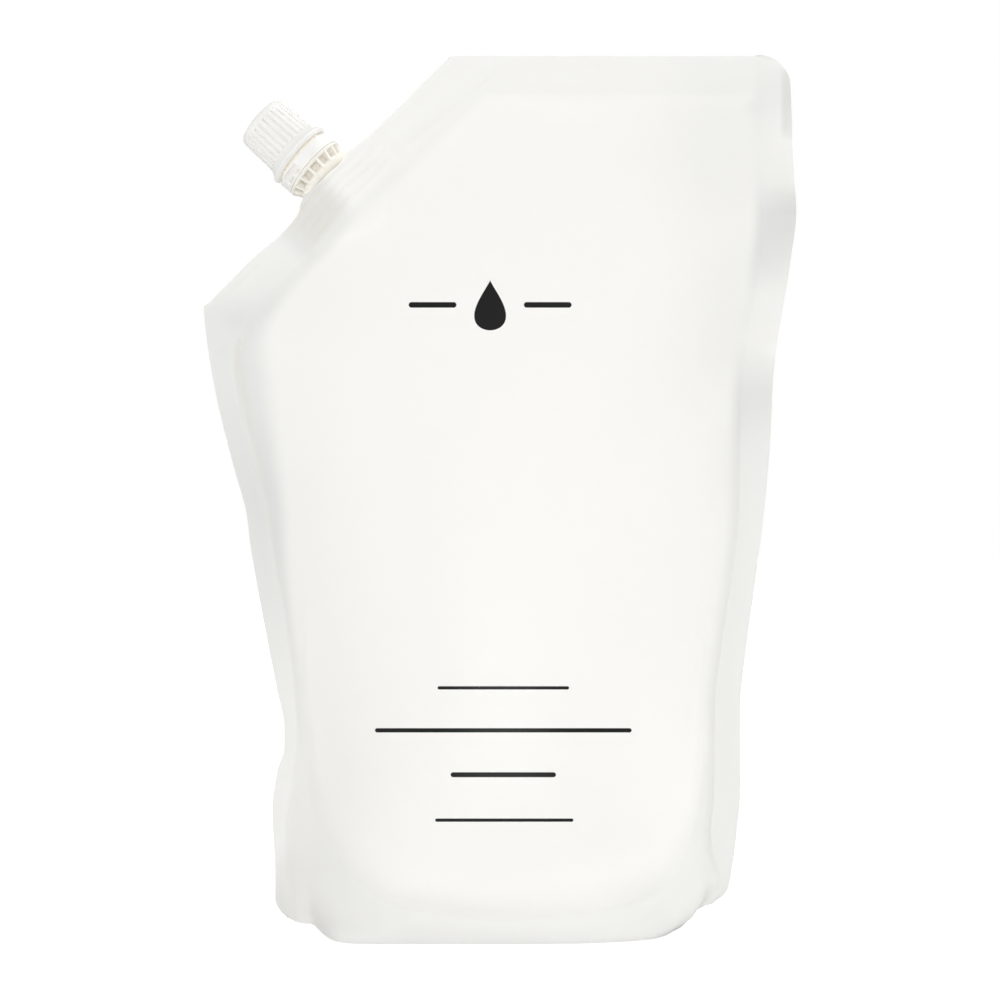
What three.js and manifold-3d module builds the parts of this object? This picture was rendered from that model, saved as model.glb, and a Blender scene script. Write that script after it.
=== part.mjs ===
// A filled stand-up refill pack for liquid hand soap, with a screw-capped spout in its cut corner.
// Millimetres, +Z up. The front faces -Y, the side seals lie in the plane Y = 0, and it stands on Z = 0.
// Heights named for the spout, ring and cap run along the spout's axis, from the edge of the film outwards.
import * as THREE from 'three';
import { mergeVertices } from 'three/addons/utils/BufferGeometryUtils.js';
import Module from 'manifold-3d';

const wasm = await Module();
wasm.setup();

// Outline of the filled pack, seen from the front
const FILM_WIDTH = 180;
const PACK_HEIGHT = 260;
const CORNER_CUT = 75.5;
const TOP_CORNER_RADIUS = 9.5;
const TOP_DRAW_IN = 1.3;
const WIDEST_BELOW_TOP = 48;
const WAIST_HEIGHT = 52;
const WAIST_LEFT = 66;
const WAIST_RIGHT = 73;
const FOOT_LEFT = 68.5;
const FOOT_RIGHT = 67.5;
const FOOT_CORNER = 3;

// Seals
const SEAL_THICKNESS = 0.8;
const LEFT_SEAL = 7;
const RIGHT_SEAL = 8;
const TOP_SEAL = 12;
const CUT_SEAL = 12;
const FOOT_SEAL = 1.5;

// Bulge of the filled pack: half depths at the middle of its width, and how square its section is
const BASE_HALF_DEPTH = 35.5;
const BELLY_HALF_DEPTH = 38;
const BELLY_HEIGHT = 38;
const CHEST_HALF_DEPTH = 19;
const CHEST_HEIGHT = 158;
const BASE_SQUARENESS = 4.5;
const BODY_SQUARENESS = 2.2;
const SQUARE_BASE_HEIGHT = 60;

// Bottom gusset: a skirt round the base, with the folded film hanging inside it, pressed down by the contents
const SKIRT_THICKNESS = 1.4;
const SKIRT_HEIGHT = 8;
const GUSSET_HEIGHT = 44;
const GUSSET_CLEARANCE = 3;
const GUSSET_INSET = 12.5;
const SEAL_LINE_RISE = 4;
const HANG_RISE = 10;
const HANG_FULLNESS = 3;

// Place of the spout on the cut corner, at the middle of the cut
const SEAT_RAISE = 0.6;
const SPOUT_LEAN = THREE.MathUtils.degToRad(3.5);

// Weld boat of the spout, and the film welded over it
const FIT_GAP = 0.3;
const BOAT_HALF_LENGTH = 17.6;
const BOAT_WALL = 1.3;
const BOAT_RIBS = 5;
const BOAT_RIB_PITCH = 2.85;
const BOAT_RIB_HEIGHT = 1.3;
const BOAT_RIB_RELIEF = 0.5;
const FILM_OVER_BOAT = 0.7;
const WELD_RIDGE_RELIEF = 0.35;
const WELD_TAIL_LENGTH = 14;
const WELD_TAIL_TAPER = 2;

// Spout
const BORE_RADIUS = 4.3;
const NECK_WALL = 1.1;
const PLATE_HEIGHT = 2.4;
const PLATE_EDGE = 0.8;
const PLATE_REACH = 3.1;
const CORE_WALL = 1.8;
const FLANGE_LOW = 4.25;
const FLANGE_THICKNESS = 1;
const WEBS = 16;
const WEB_WIDTH = 0.85;
const WEB_FOOT = 1.3;
const COLLAR_WALL = 1.5;
const BEAD_RELIEF = 1.1;
const BEAD_HEIGHT = 0.7;

// Screw thread
const THREAD_PITCH = 3;
const THREAD_TURNS = 1.5;
const THREAD_LEAD_IN = 0.45;
const THREAD_END_SHARE = 0.1;
const THREAD_RUN_OUT_STEPS = 2;
const THREAD_DEPTH = 0.7;
const THREAD_ROOT_WIDTH = 1.7;
const THREAD_CREST_WIDTH = 0.7;

// Tamper ring
const RING_WALL = 1.2;
const RING_HEIGHT = 3.3;
const RING_LIP_HEIGHT = 1.5;
const RING_SET_BACK = 0.6;
const RING_EDGE = 0.3;
const BRIDGES = 8;
const BRIDGE_WIDTH = 1;
const BRIDGE_THICKNESS = 0.8;
const BRIDGE_HEIGHT = 0.6;
const POCKET_DEPTH = 0.6;
const POCKET_HEIGHT = 2.1;
const POCKET_START = THREE.MathUtils.degToRad(208);
const POCKET_SWEEP = THREE.MathUtils.degToRad(42);

// Screw cap
const CAP_HEIGHT = 17.65;
const CAP_CEILING = 1.6;
const CAP_WALL_LOW = 2.6;
const CAP_WALL_HIGH = 1.7;
const CAP_EDGE = 1.2;
const CAP_EDGE_SOFTENING = 0.4;
const CROWN_HEIGHT = 2.5;
const RIBS = 28;
const RIB_DEPTH = 0.6;
const RIB_RUN_OUT = 0.5;
const FLARE = 1.95;
const FLARE_HEIGHT = 3.95;
const FLARE_RIM = 1.05;
const FLARE_RIM_WIDTH = 0.4;
const FLARE_UNDERCUT = 0.8;
const SKIRT_CLEARANCE = 0.6;
const SKIRT_DEPTH = 2.65;
const SKIRT_SLOPE = 1;
const PLUG_WALL = 0.8;
const PLUG_LENGTH = 3;

// How far a tool that cuts an opening starts outside the piece
const CUT_PAST = 1;

// Fineness of the faceted surfaces
const BASE_ROWS = 6;
const BASE_ROW_CROWDING = 1.4;
const BODY_ROWS = 12;
const SHOULDER_ROWS = 9;
const CORNER_ROWS = 4;
const FILL_COLUMNS = 20;
const GUSSET_COLUMNS = 14;
const ARCH_ROWS = 8;
const LENS_STEPS = 16;
const ROUND_STEPS = 36;
const THREAD_STEPS_PER_TURN = 20;
const POCKET_STEPS = 5;
const POINTS_PER_RIB = 3;

const FILM = new THREE.MeshStandardMaterial({ color: 0xf5f4f1, roughness: 0.42, metalness: 0 });
const SPOUT_PLASTIC = new THREE.MeshStandardMaterial({ color: 0xefebe0, roughness: 0.38, metalness: 0 });
const CAP_PLASTIC = new THREE.MeshStandardMaterial({ color: 0xf3f3f0, roughness: 0.35, metalness: 0 });

const cutCornerHeight = PACK_HEIGHT - CORNER_CUT;
const halfWidth = FILM_WIDTH / 2;

const neckRadius = BORE_RADIUS + NECK_WALL;
const coreRadius = neckRadius + CORE_WALL;
const webFootRadius = coreRadius + WEB_FOOT;
const collarRadius = neckRadius + COLLAR_WALL;
const beadRadius = collarRadius + BEAD_RELIEF;
const capBore = neckRadius + THREAD_DEPTH + FIT_GAP;
const flareRadius = capBore + CAP_WALL_LOW + FLARE;
const ringRadius = flareRadius - RING_SET_BACK;
const boatHalfWidth = BORE_RADIUS + BOAT_WALL;

const flangeTop = FLANGE_LOW + FLANGE_THICKNESS;
const ringLow = flangeTop + FIT_GAP;
const lipTop = ringLow + RING_LIP_HEIGHT;
const ringTop = ringLow + RING_HEIGHT;
const beadLow = lipTop + FIT_GAP;
const beadTop = beadLow + BEAD_HEIGHT;
const capLow = ringTop + BRIDGE_HEIGHT + FIT_GAP;
const capTop = capLow + CAP_HEIGHT;
const capCeiling = capTop - CAP_CEILING;
const neckTop = capCeiling - FIT_GAP;
const ribLow = capLow + FLARE_HEIGHT;
const ribTop = capTop - CROWN_HEIGHT;
const capThreadLow = capLow + SKIRT_DEPTH + THREAD_ROOT_WIDTH / 2 + THREAD_LEAD_IN;
const neckThreadLow = capThreadLow + THREAD_PITCH / 2;

// Turns the faces over when they point inwards
function outward(geometry) {
  const position = geometry.attributes.position;
  const index = geometry.index.array;
  const corners = [new THREE.Vector3(), new THREE.Vector3(), new THREE.Vector3()];
  let volume = 0;
  for (let i = 0; i < index.length; i += 3) {
    corners.forEach((corner, k) => corner.fromBufferAttribute(position, index[i + k]));
    volume += corners[0].dot(corners[1].cross(corners[2]));
  }
  if (volume < 0) {
    for (let i = 0; i < index.length; i += 3) {
      [index[i + 1], index[i + 2]] = [index[i + 2], index[i + 1]];
    }
  }
  return geometry;
}

// Closed surface through rings of points that each run out along one side and back along the other
function loft(rings) {
  const size = rings[0].length;
  const index = [];
  for (let r = 0; r < rings.length - 1; r += 1) {
    for (let i = 0; i < size; i += 1) {
      const a = r * size + i;
      const b = r * size + ((i + 1) % size);
      index.push(a, b, b + size, a, b + size, a + size);
    }
  }
  const last = (rings.length - 1) * size;
  for (let i = 0; i < size / 2 - 1; i += 1) {
    const j = size - 1 - i;
    index.push(i, j - 1, i + 1, i, j, j - 1);
    index.push(last + i, last + i + 1, last + j - 1, last + i, last + j - 1, last + j);
  }
  const geometry = new THREE.BufferGeometry();
  const positions = rings.flat().flatMap((point) => point.toArray());
  geometry.setAttribute('position', new THREE.Float32BufferAttribute(positions, 3));
  geometry.setIndex(index);
  return outward(geometry);
}

function solid(geometry) {
  const bare = geometry.clone();
  bare.deleteAttribute('normal');
  bare.deleteAttribute('uv');
  const merged = outward(mergeVertices(bare, 1e-4));
  return new wasm.Manifold(new wasm.Mesh({
    numProp: 3,
    vertProperties: new Float32Array(merged.attributes.position.array),
    triVerts: new Uint32Array(merged.index.array),
  }));
}

function geometryOf(body) {
  const mesh = body.getMesh();
  const geometry = new THREE.BufferGeometry();
  geometry.setAttribute('position', new THREE.BufferAttribute(new Float32Array(mesh.vertProperties), 3));
  geometry.setIndex(new THREE.BufferAttribute(new Uint32Array(mesh.triVerts), 1));
  geometry.computeVertexNormals();
  return geometry;
}

function joined(bodies) {
  return bodies.reduce((sum, body) => sum.add(body));
}

function evenly(count, place) {
  return Array.from({ length: count }, (_, i) => place(i));
}

// Smooth curve through [where, value] pairs without overshoot, flat outside them
function through(pairs) {
  const slopes = pairs.map((pair, i) => {
    if (i === 0 || i === pairs.length - 1) {
      return 0;
    }
    const before = (pair[1] - pairs[i - 1][1]) / (pair[0] - pairs[i - 1][0]);
    const after = (pairs[i + 1][1] - pair[1]) / (pairs[i + 1][0] - pair[0]);
    return before * after <= 0 ? 0 : (2 * before * after) / (before + after);
  });
  return (where) => {
    const i = pairs.findIndex((pair) => where < pair[0]);
    if (i === 0) {
      return pairs[0][1];
    }
    if (i < 0) {
      return pairs[pairs.length - 1][1];
    }
    const [x0, y0] = pairs[i - 1];
    const [x1, y1] = pairs[i];
    const span = x1 - x0;
    const t = (where - x0) / span;
    const eased = y0 * (1 + 2 * t) * (1 - t) ** 2 + y1 * t * t * (3 - 2 * t);
    return eased + span * t * (1 - t) * (slopes[i - 1] * (1 - t) - slopes[i] * t);
  };
}

const leftSide = through([
  [0, -FOOT_LEFT + FOOT_CORNER],
  [FOOT_CORNER, -FOOT_LEFT],
  [WAIST_HEIGHT, -WAIST_LEFT],
  [(WAIST_HEIGHT + cutCornerHeight) / 2, -(WAIST_LEFT + halfWidth) / 2],
  [cutCornerHeight, -halfWidth],
]);

const rightSide = through([
  [0, FOOT_RIGHT - FOOT_CORNER],
  [FOOT_CORNER, FOOT_RIGHT],
  [WAIST_HEIGHT, WAIST_RIGHT],
  [PACK_HEIGHT - WIDEST_BELOW_TOP, halfWidth],
  [PACK_HEIGHT, halfWidth - TOP_DRAW_IN],
]);

const leftSealWidth = through([[0, FOOT_SEAL], [WAIST_HEIGHT / 2, LEFT_SEAL]]);
const rightSealWidth = through([[0, FOOT_SEAL], [WAIST_HEIGHT / 2, RIGHT_SEAL]]);

const middleDepth = through([
  [0, BASE_HALF_DEPTH],
  [BELLY_HEIGHT, BELLY_HALF_DEPTH],
  [CHEST_HEIGHT, CHEST_HALF_DEPTH],
  [PACK_HEIGHT - TOP_SEAL, 0],
]);

const squareness = through([[0, BASE_SQUARENESS], [SQUARE_BASE_HEIGHT, BODY_SQUARENESS]]);

// Slanted edge of the cut corner, as a place across the pack at a height
function cutEdge(z) {
  return z - cutCornerHeight - halfWidth;
}

function leftEdge(z) {
  return z > cutCornerHeight ? cutEdge(z) : leftSide(z);
}

function rightEdge(z) {
  const above = Math.max(0, z - (PACK_HEIGHT - TOP_CORNER_RADIUS));
  const reach = Math.sqrt(Math.max(0, TOP_CORNER_RADIUS ** 2 - above ** 2));
  return rightSide(z) - TOP_CORNER_RADIUS + reach;
}

function fillFrom(z) {
  return Math.max(leftEdge(z) + leftSealWidth(z), cutEdge(z) + CUT_SEAL * Math.SQRT2);
}

function fillTo(z) {
  return Math.min(rightSide(z) - rightSealWidth(z), rightEdge(z) - FOOT_SEAL);
}

// Half depth of the pack at a point of its front view
function halfDepth(x, z) {
  const middle = (fillFrom(z) + fillTo(z)) / 2;
  const reach = (fillTo(z) - fillFrom(z)) / 2;
  const across = Math.min(1, Math.abs(x - middle) / reach);
  return SEAL_THICKNESS / 2 + middleDepth(z) * (1 - across ** squareness(z));
}

// Section of the pack at one height: along the front from edge to edge, and back along the rear
function packRing(z) {
  const middle = (fillFrom(z) + fillTo(z)) / 2;
  const reach = (fillTo(z) - fillFrom(z)) / 2;
  const filled = evenly(FILL_COLUMNS + 1, (i) => middle - reach * Math.cos((Math.PI * i) / FILL_COLUMNS));
  const across = [leftEdge(z), ...filled, rightEdge(z)];
  const front = across.map((x) => new THREE.Vector3(x, -halfDepth(x, z), z));
  const rear = across.map((x) => new THREE.Vector3(x, halfDepth(x, z), z));
  return [...front, ...rear.reverse()];
}

function packHeights() {
  const sealLine = PACK_HEIGHT - TOP_SEAL;
  const arcLow = PACK_HEIGHT - TOP_CORNER_RADIUS;
  const base = evenly(BASE_ROWS, (i) => {
    return FOOT_CORNER + (SQUARE_BASE_HEIGHT - FOOT_CORNER) * ((i + 1) / BASE_ROWS) ** BASE_ROW_CROWDING;
  });
  const body = evenly(BODY_ROWS, (i) => {
    return SQUARE_BASE_HEIGHT + ((cutCornerHeight - SQUARE_BASE_HEIGHT) * (i + 1)) / BODY_ROWS;
  });
  const shoulder = evenly(SHOULDER_ROWS, (i) => {
    return cutCornerHeight + ((sealLine - cutCornerHeight) * (i + 1)) / SHOULDER_ROWS;
  });
  const corner = evenly(CORNER_ROWS + 1, (i) => {
    return arcLow + TOP_CORNER_RADIUS * Math.sin((Math.PI * i) / (2 * CORNER_ROWS));
  });
  return [0, FOOT_CORNER / 2, FOOT_CORNER, ...base, ...body, ...shoulder, ...corner];
}

// Hollow under the gusset: its film hangs between the seal lines, which rise towards the side seals
function underGusset() {
  const reach = Math.min(FOOT_LEFT, FOOT_RIGHT) - GUSSET_INSET;
  return loft(evenly(GUSSET_COLUMNS + 1, (i) => {
    const across = -Math.cos((Math.PI * i) / GUSSET_COLUMNS);
    const x = reach * across;
    const line = SKIRT_HEIGHT + (GUSSET_HEIGHT - SKIRT_HEIGHT) * across ** SEAL_LINE_RISE;
    const hang = GUSSET_CLEARANCE + (GUSSET_HEIGHT - GUSSET_CLEARANCE) * across ** HANG_RISE;
    const low = halfDepth(x, 0) - SKIRT_THICKNESS;
    const high = Math.min(low, halfDepth(x, line) - SKIRT_THICKNESS);
    const arch = evenly(ARCH_ROWS, (k) => {
      const y = -Math.cos((Math.PI * k) / (ARCH_ROWS - 1));
      return new THREE.Vector3(x, y * high, hang + (line - hang) * Math.abs(y) ** HANG_FULLNESS);
    });
    return [new THREE.Vector3(x, -low, -1), ...arch, new THREE.Vector3(x, low, -1)];
  }));
}

// Outline of a weld boat: two arcs that meet in points at its ends
function lensRing(halfLength, halfAcross, z) {
  const radius = (halfLength ** 2 + halfAcross ** 2) / (2 * halfAcross);
  const half = Math.asin(halfLength / radius);
  return [-1, 1].flatMap((side) => evenly(LENS_STEPS, (i) => {
    const angle = half * ((2 * i) / LENS_STEPS - 1);
    const y = side * (radius * Math.cos(angle) - radius + halfAcross);
    return new THREE.Vector3(-side * radius * Math.sin(angle), y, z);
  }));
}

function lensBlock(levels) {
  return loft(levels.map(([halfLength, halfAcross, z]) => lensRing(halfLength, halfAcross, z)));
}

const spoutPlace = new THREE.Matrix4()
  .makeTranslation(
    -halfWidth + CORNER_CUT / 2 - SEAT_RAISE * Math.SQRT1_2,
    0,
    cutCornerHeight + CORNER_CUT / 2 + SEAT_RAISE * Math.SQRT1_2,
  )
  .multiply(new THREE.Matrix4().makeRotationY(-Math.PI / 4 - SPOUT_LEAN));

function boatRibMiddle(i) {
  return -BOAT_RIB_HEIGHT / 2 - i * BOAT_RIB_PITCH;
}

const boatLow = boatRibMiddle(BOAT_RIBS - 1) - BOAT_RIB_HEIGHT / 2;

// Film over the boat, ridged where the boat's ribs press into it, and sloping into the body below
function weldedFilm() {
  const skin = FIT_GAP + FILM_OVER_BOAT;
  const valley = [BOAT_HALF_LENGTH + skin, boatHalfWidth + skin];
  const ridge = valley.map((reach) => reach + WELD_RIDGE_RELIEF);
  const levels = evenly(BOAT_RIBS, (i) => {
    const middle = boatRibMiddle(BOAT_RIBS - 1 - i);
    const half = BOAT_RIB_HEIGHT / 2;
    return [
      [...valley, middle - half - WELD_RIDGE_RELIEF],
      [...ridge, middle - half],
      [...ridge, middle + half],
      [...valley, middle + half + WELD_RIDGE_RELIEF],
    ];
  }).flat().slice(0, -1);
  const tail = valley.map((reach) => reach - WELD_TAIL_TAPER);
  return lensBlock([[...tail, boatLow - WELD_TAIL_LENGTH], ...levels]).applyMatrix4(spoutPlace);
}

// Seat of the boat in the film, open at the cut edge
function boatSocket() {
  const size = [BOAT_HALF_LENGTH + FIT_GAP, boatHalfWidth + FIT_GAP];
  return lensBlock([[...size, boatLow - FIT_GAP], [...size, PLATE_HEIGHT]]).applyMatrix4(spoutPlace);
}

function pouchGeometry() {
  const bag = solid(loft(packHeights().map(packRing)));
  const withWeld = bag.subtract(solid(underGusset())).add(solid(weldedFilm()));
  return geometryOf(withWeld.subtract(solid(boatSocket())));
}

// Solid of revolution about the spout's axis, from a closed profile of [radius, height] pairs
function turned(profile) {
  const points = [...profile, profile[0]].map(([radius, height]) => new THREE.Vector2(radius, height));
  return solid(new THREE.LatheGeometry(points, ROUND_STEPS).rotateX(Math.PI / 2));
}

// One helical ridge on a round wall, standing outwards (side 1) or inwards (side -1)
function threadRidge(wallRadius, side, low) {
  const steps = Math.round(THREAD_TURNS * THREAD_STEPS_PER_TURN);
  return solid(loft(evenly(steps + 1, (i) => {
    const turns = (THREAD_TURNS * i) / steps;
    const angle = 2 * Math.PI * turns;
    const fromEnd = Math.min(i, steps - i);
    const taper = Math.min(1, THREAD_END_SHARE + fromEnd / THREAD_RUN_OUT_STEPS);
    const root = wallRadius - (side * THREAD_DEPTH) / 2;
    const crest = wallRadius + side * THREAD_DEPTH * taper;
    const section = [
      [root, -THREAD_ROOT_WIDTH / 2],
      [crest, -THREAD_CREST_WIDTH / 2],
      [crest, THREAD_CREST_WIDTH / 2],
      [root, THREAD_ROOT_WIDTH / 2],
    ];
    return section.map(([radius, height]) => {
      const climb = low + THREAD_PITCH * turns + height;
      return new THREE.Vector3(radius * Math.cos(angle), radius * Math.sin(angle), climb);
    });
  })));
}

// Upright web under the flange, sloping in from the flange's rim to its foot on the plate
function web(i) {
  const rootRadius = coreRadius - NECK_WALL;
  const shape = new THREE.Shape();
  shape.moveTo(rootRadius, PLATE_EDGE);
  shape.lineTo(webFootRadius, PLATE_EDGE);
  shape.lineTo(webFootRadius, PLATE_HEIGHT);
  shape.lineTo(flareRadius - RING_SET_BACK, FLANGE_LOW);
  shape.lineTo(flareRadius - RING_SET_BACK, FLANGE_LOW + FLANGE_THICKNESS / 2);
  shape.lineTo(rootRadius, FLANGE_LOW + FLANGE_THICKNESS / 2);
  shape.closePath();
  const slab = new THREE.ExtrudeGeometry(shape, { depth: WEB_WIDTH, bevelEnabled: false });
  slab.translate(0, 0, -WEB_WIDTH / 2).rotateX(Math.PI / 2).rotateZ((2 * Math.PI * (i + 0.5)) / WEBS);
  return solid(slab);
}

function spoutGeometry() {
  const coreSize = [BOAT_HALF_LENGTH - BOAT_RIB_RELIEF, boatHalfWidth - BOAT_RIB_RELIEF];
  const plateSize = [webFootRadius + PLATE_REACH, webFootRadius];
  const boatCore = solid(lensBlock([
    [...coreSize, boatLow],
    [...coreSize, 0],
    [...plateSize, PLATE_EDGE],
  ]));
  const boatRibs = evenly(BOAT_RIBS, (i) => solid(lensBlock([
    [BOAT_HALF_LENGTH, boatHalfWidth, boatRibMiddle(i) - BOAT_RIB_HEIGHT / 2],
    [BOAT_HALF_LENGTH, boatHalfWidth, boatRibMiddle(i) + BOAT_RIB_HEIGHT / 2],
  ])));
  const plate = solid(lensBlock([
    [...plateSize, FIT_GAP],
    [...plateSize, PLATE_EDGE],
    [webFootRadius, coreRadius, PLATE_HEIGHT],
  ]));
  const stem = turned([
    [0, 0],
    [coreRadius - NECK_WALL, FIT_GAP],
    [coreRadius, PLATE_EDGE],
    [coreRadius, FLANGE_LOW],
    [ringRadius, FLANGE_LOW],
    [ringRadius, flangeTop],
    [collarRadius, flangeTop],
    [collarRadius, beadLow],
    [beadRadius, beadLow],
    [beadRadius, beadTop],
    [neckRadius, beadTop + beadRadius - neckRadius],
    [neckRadius, neckTop - NECK_WALL / 2],
    [neckRadius - NECK_WALL / 2, neckTop],
    [0, neckTop],
  ]);
  const bore = turned([
    [0, boatLow - CUT_PAST],
    [BORE_RADIUS, boatLow - CUT_PAST],
    [BORE_RADIUS, neckTop + CUT_PAST],
    [0, neckTop + CUT_PAST],
  ]);
  const ridge = threadRidge(neckRadius, 1, neckThreadLow);
  return geometryOf(joined([boatCore, ...boatRibs, plate, stem, ...evenly(WEBS, web), ridge]).subtract(bore));
}

function ringGeometry() {
  const inner = ringRadius - RING_WALL;
  const lip = collarRadius + FIT_GAP;
  const band = turned([
    [lip, ringLow],
    [ringRadius - RING_EDGE, ringLow],
    [ringRadius, ringLow + RING_EDGE],
    [ringRadius, ringTop - RING_EDGE],
    [ringRadius - RING_EDGE, ringTop],
    [inner, ringTop],
    [inner, lipTop],
    [lip, lipTop],
  ]);
  const bridges = evenly(BRIDGES, (i) => {
    const peg = new THREE.BoxGeometry(BRIDGE_THICKNESS, BRIDGE_WIDTH, 2 * BRIDGE_HEIGHT);
    return solid(peg.translate(ringRadius - RING_WALL / 2, 0, ringTop).rotateZ((2 * Math.PI * i) / BRIDGES));
  });
  const shape = new THREE.Shape();
  shape.absarc(0, 0, ringRadius + CUT_PAST, POCKET_START, POCKET_START + POCKET_SWEEP, false);
  shape.absarc(0, 0, ringRadius - POCKET_DEPTH, POCKET_START + POCKET_SWEEP, POCKET_START, true);
  shape.closePath();
  const pocket = new THREE.ExtrudeGeometry(shape, {
    depth: POCKET_HEIGHT,
    bevelEnabled: false,
    curveSegments: POCKET_STEPS,
  });
  pocket.translate(0, 0, ringLow + (RING_HEIGHT - POCKET_HEIGHT) / 2);
  return geometryOf(joined([band, ...bridges]).subtract(solid(pocket)));
}

// Outer radius of the cap between its grooves, narrowing upwards
function capRadius(z) {
  const climb = (z - ribLow) / (capTop - ribLow);
  return capBore + CAP_WALL_LOW + climb * (CAP_WALL_HIGH - CAP_WALL_LOW);
}

function capRing(z, radius, grooveDepth) {
  const count = RIBS * POINTS_PER_RIB;
  return evenly(count, (i) => {
    const angle = (2 * Math.PI * i) / count - Math.PI / 2;
    const reach = i % POINTS_PER_RIB === 0 ? radius - grooveDepth : radius;
    return new THREE.Vector3(reach * Math.cos(angle), reach * Math.sin(angle), z);
  });
}

function capGeometry() {
  const rimMiddle = capLow + FLARE_RIM;
  const crownLow = capTop - CAP_EDGE;
  const crownHigh = capTop - CAP_EDGE_SOFTENING;
  const plain = (z, inset) => capRing(z, capRadius(z) - inset, 0);
  const outside = solid(loft([
    capRing(capLow, flareRadius - FLARE_UNDERCUT, 0),
    capRing(rimMiddle - FLARE_RIM_WIDTH / 2, flareRadius, 0),
    capRing(rimMiddle + FLARE_RIM_WIDTH / 2, flareRadius, 0),
    plain(ribLow, 0),
    capRing(ribLow + RIB_RUN_OUT, capRadius(ribLow + RIB_RUN_OUT), RIB_DEPTH),
    capRing(ribTop - RIB_RUN_OUT, capRadius(ribTop - RIB_RUN_OUT), RIB_DEPTH),
    plain(ribTop, 0),
    plain(crownLow, 0),
    plain(crownHigh, CAP_EDGE_SOFTENING),
    plain(capTop, CAP_EDGE),
  ]));
  const skirtRadius = beadRadius + SKIRT_CLEARANCE;
  const skirtTop = capLow + SKIRT_DEPTH;
  const plugRadius = BORE_RADIUS - FIT_GAP;
  const inside = turned([
    [0, capLow - CUT_PAST],
    [skirtRadius, capLow - CUT_PAST],
    [skirtRadius, skirtTop - SKIRT_SLOPE],
    [capBore, skirtTop],
    [capBore, capCeiling],
    [plugRadius, capCeiling],
    [plugRadius, capCeiling - PLUG_LENGTH],
    [plugRadius - PLUG_WALL, capCeiling - PLUG_LENGTH],
    [plugRadius - PLUG_WALL, capCeiling],
    [0, capCeiling],
  ]);
  return geometryOf(outside.subtract(inside).add(threadRidge(capBore, -1, capThreadLow)));
}

function piece(name, geometry, material) {
  const mesh = new THREE.Mesh(geometry, material.clone());
  mesh.name = name;
  return mesh;
}

const closure = new THREE.Group();
closure.applyMatrix4(spoutPlace);
closure.add(piece('spout', spoutGeometry(), SPOUT_PLASTIC));
closure.add(piece('tamper_ring', ringGeometry(), CAP_PLASTIC));
closure.add(piece('cap', capGeometry(), CAP_PLASTIC));

const pack = new THREE.Group();
pack.add(piece('pouch', pouchGeometry(), FILM));
pack.add(closure);

export default pack;
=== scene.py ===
import logging
import math
from dataclasses import dataclass, field
from enum import Enum
from typing import Callable, Sequence

import bpy
import numpy as np
from mathutils import Matrix, Vector


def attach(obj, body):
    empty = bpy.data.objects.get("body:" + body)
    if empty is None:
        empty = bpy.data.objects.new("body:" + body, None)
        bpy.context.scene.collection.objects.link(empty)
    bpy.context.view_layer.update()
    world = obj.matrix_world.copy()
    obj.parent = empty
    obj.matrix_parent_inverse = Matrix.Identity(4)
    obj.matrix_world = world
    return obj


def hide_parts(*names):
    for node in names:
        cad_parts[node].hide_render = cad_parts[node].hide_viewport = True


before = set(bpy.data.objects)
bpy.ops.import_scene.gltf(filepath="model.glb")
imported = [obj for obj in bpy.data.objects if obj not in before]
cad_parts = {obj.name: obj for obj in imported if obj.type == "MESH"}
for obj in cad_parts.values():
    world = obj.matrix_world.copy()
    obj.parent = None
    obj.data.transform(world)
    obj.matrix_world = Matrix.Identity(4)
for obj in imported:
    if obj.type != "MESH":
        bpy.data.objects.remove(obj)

# Sizes in this script are in millimetres, and MM turns them into Blender's metres.
# The front of the pack faces -Y.
# The spout's own frame has its axis along +Z and the film's edge at height 0.
MM = 0.001

# Where the photograph was taken from: in front of the middle of the pack, level, and this high.
CAMERA_DISTANCE = 503.0
CAMERA_HEIGHT = 125.2

# Sides of the round pieces of the closure, and of the round blocks that a boat shape is cut from.
ROUND_SIDES = 96
BOAT_SIDES = 256

# Share of painted shade noted at vertices hidden inside the closure, and the painted glow that they are given.
INSIDE = 0.8
INSIDE_GLOW = 0.36

log = logging.getLogger("refill_pack")

Array = np.ndarray
Profile = Sequence[tuple[float, float]]


class Side(Enum):
    """The two film walls of the pack."""

    FRONT = -1.0
    BACK = 1.0


class Curve:
    """Smooth curve through measured points, without overshoot, and level outside them."""

    def __init__(self, *points: tuple[float, float]) -> None:
        """Works out the slope at each point.

        Args:
            points: Pairs of a place and the value there, in rising order of place.
        """
        self.where = np.array([point[0] for point in points], float)
        self.value = np.array([point[1] for point in points], float)
        steps = np.diff(self.value) / np.diff(self.where)
        self.slope = np.zeros(len(points))
        before, after = steps[:-1], steps[1:]
        turning = before * after <= 0.0
        total = np.where(turning, 1.0, before + after)
        self.slope[1:-1] = np.where(turning, 0.0, 2.0 * before * after / total)

    def __call__(self, where: Array | float) -> Array:
        """Gives the curve's value.

        Args:
            where: One place, or an array of them.

        Returns:
            The values at those places.
        """
        x = np.clip(np.asarray(where, float), self.where[0], self.where[-1])
        i = np.clip(np.searchsorted(self.where, x, side="right") - 1, 0, len(self.where) - 2)
        span = self.where[i + 1] - self.where[i]
        t = (x - self.where[i]) / span
        start, end = self.value[i], self.value[i + 1]
        eased = start * (1 + 2 * t) * (1 - t) ** 2 + end * t * t * (3 - 2 * t)
        return eased + span * t * (1 - t) * (self.slope[i] * (1 - t) - self.slope[i + 1] * t)


def smooth_step(value: Array, low: float, high: float) -> Array:
    """Rises smoothly from 0 to 1.

    Args:
        value: What to judge.
        low: Value at and below which the result is 0.
        high: Value at and above which the result is 1.

    Returns:
        The eased share between the two.
    """
    t = np.clip((value - low) / (high - low), 0.0, 1.0)
    return t * t * (3 - 2 * t)


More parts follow.
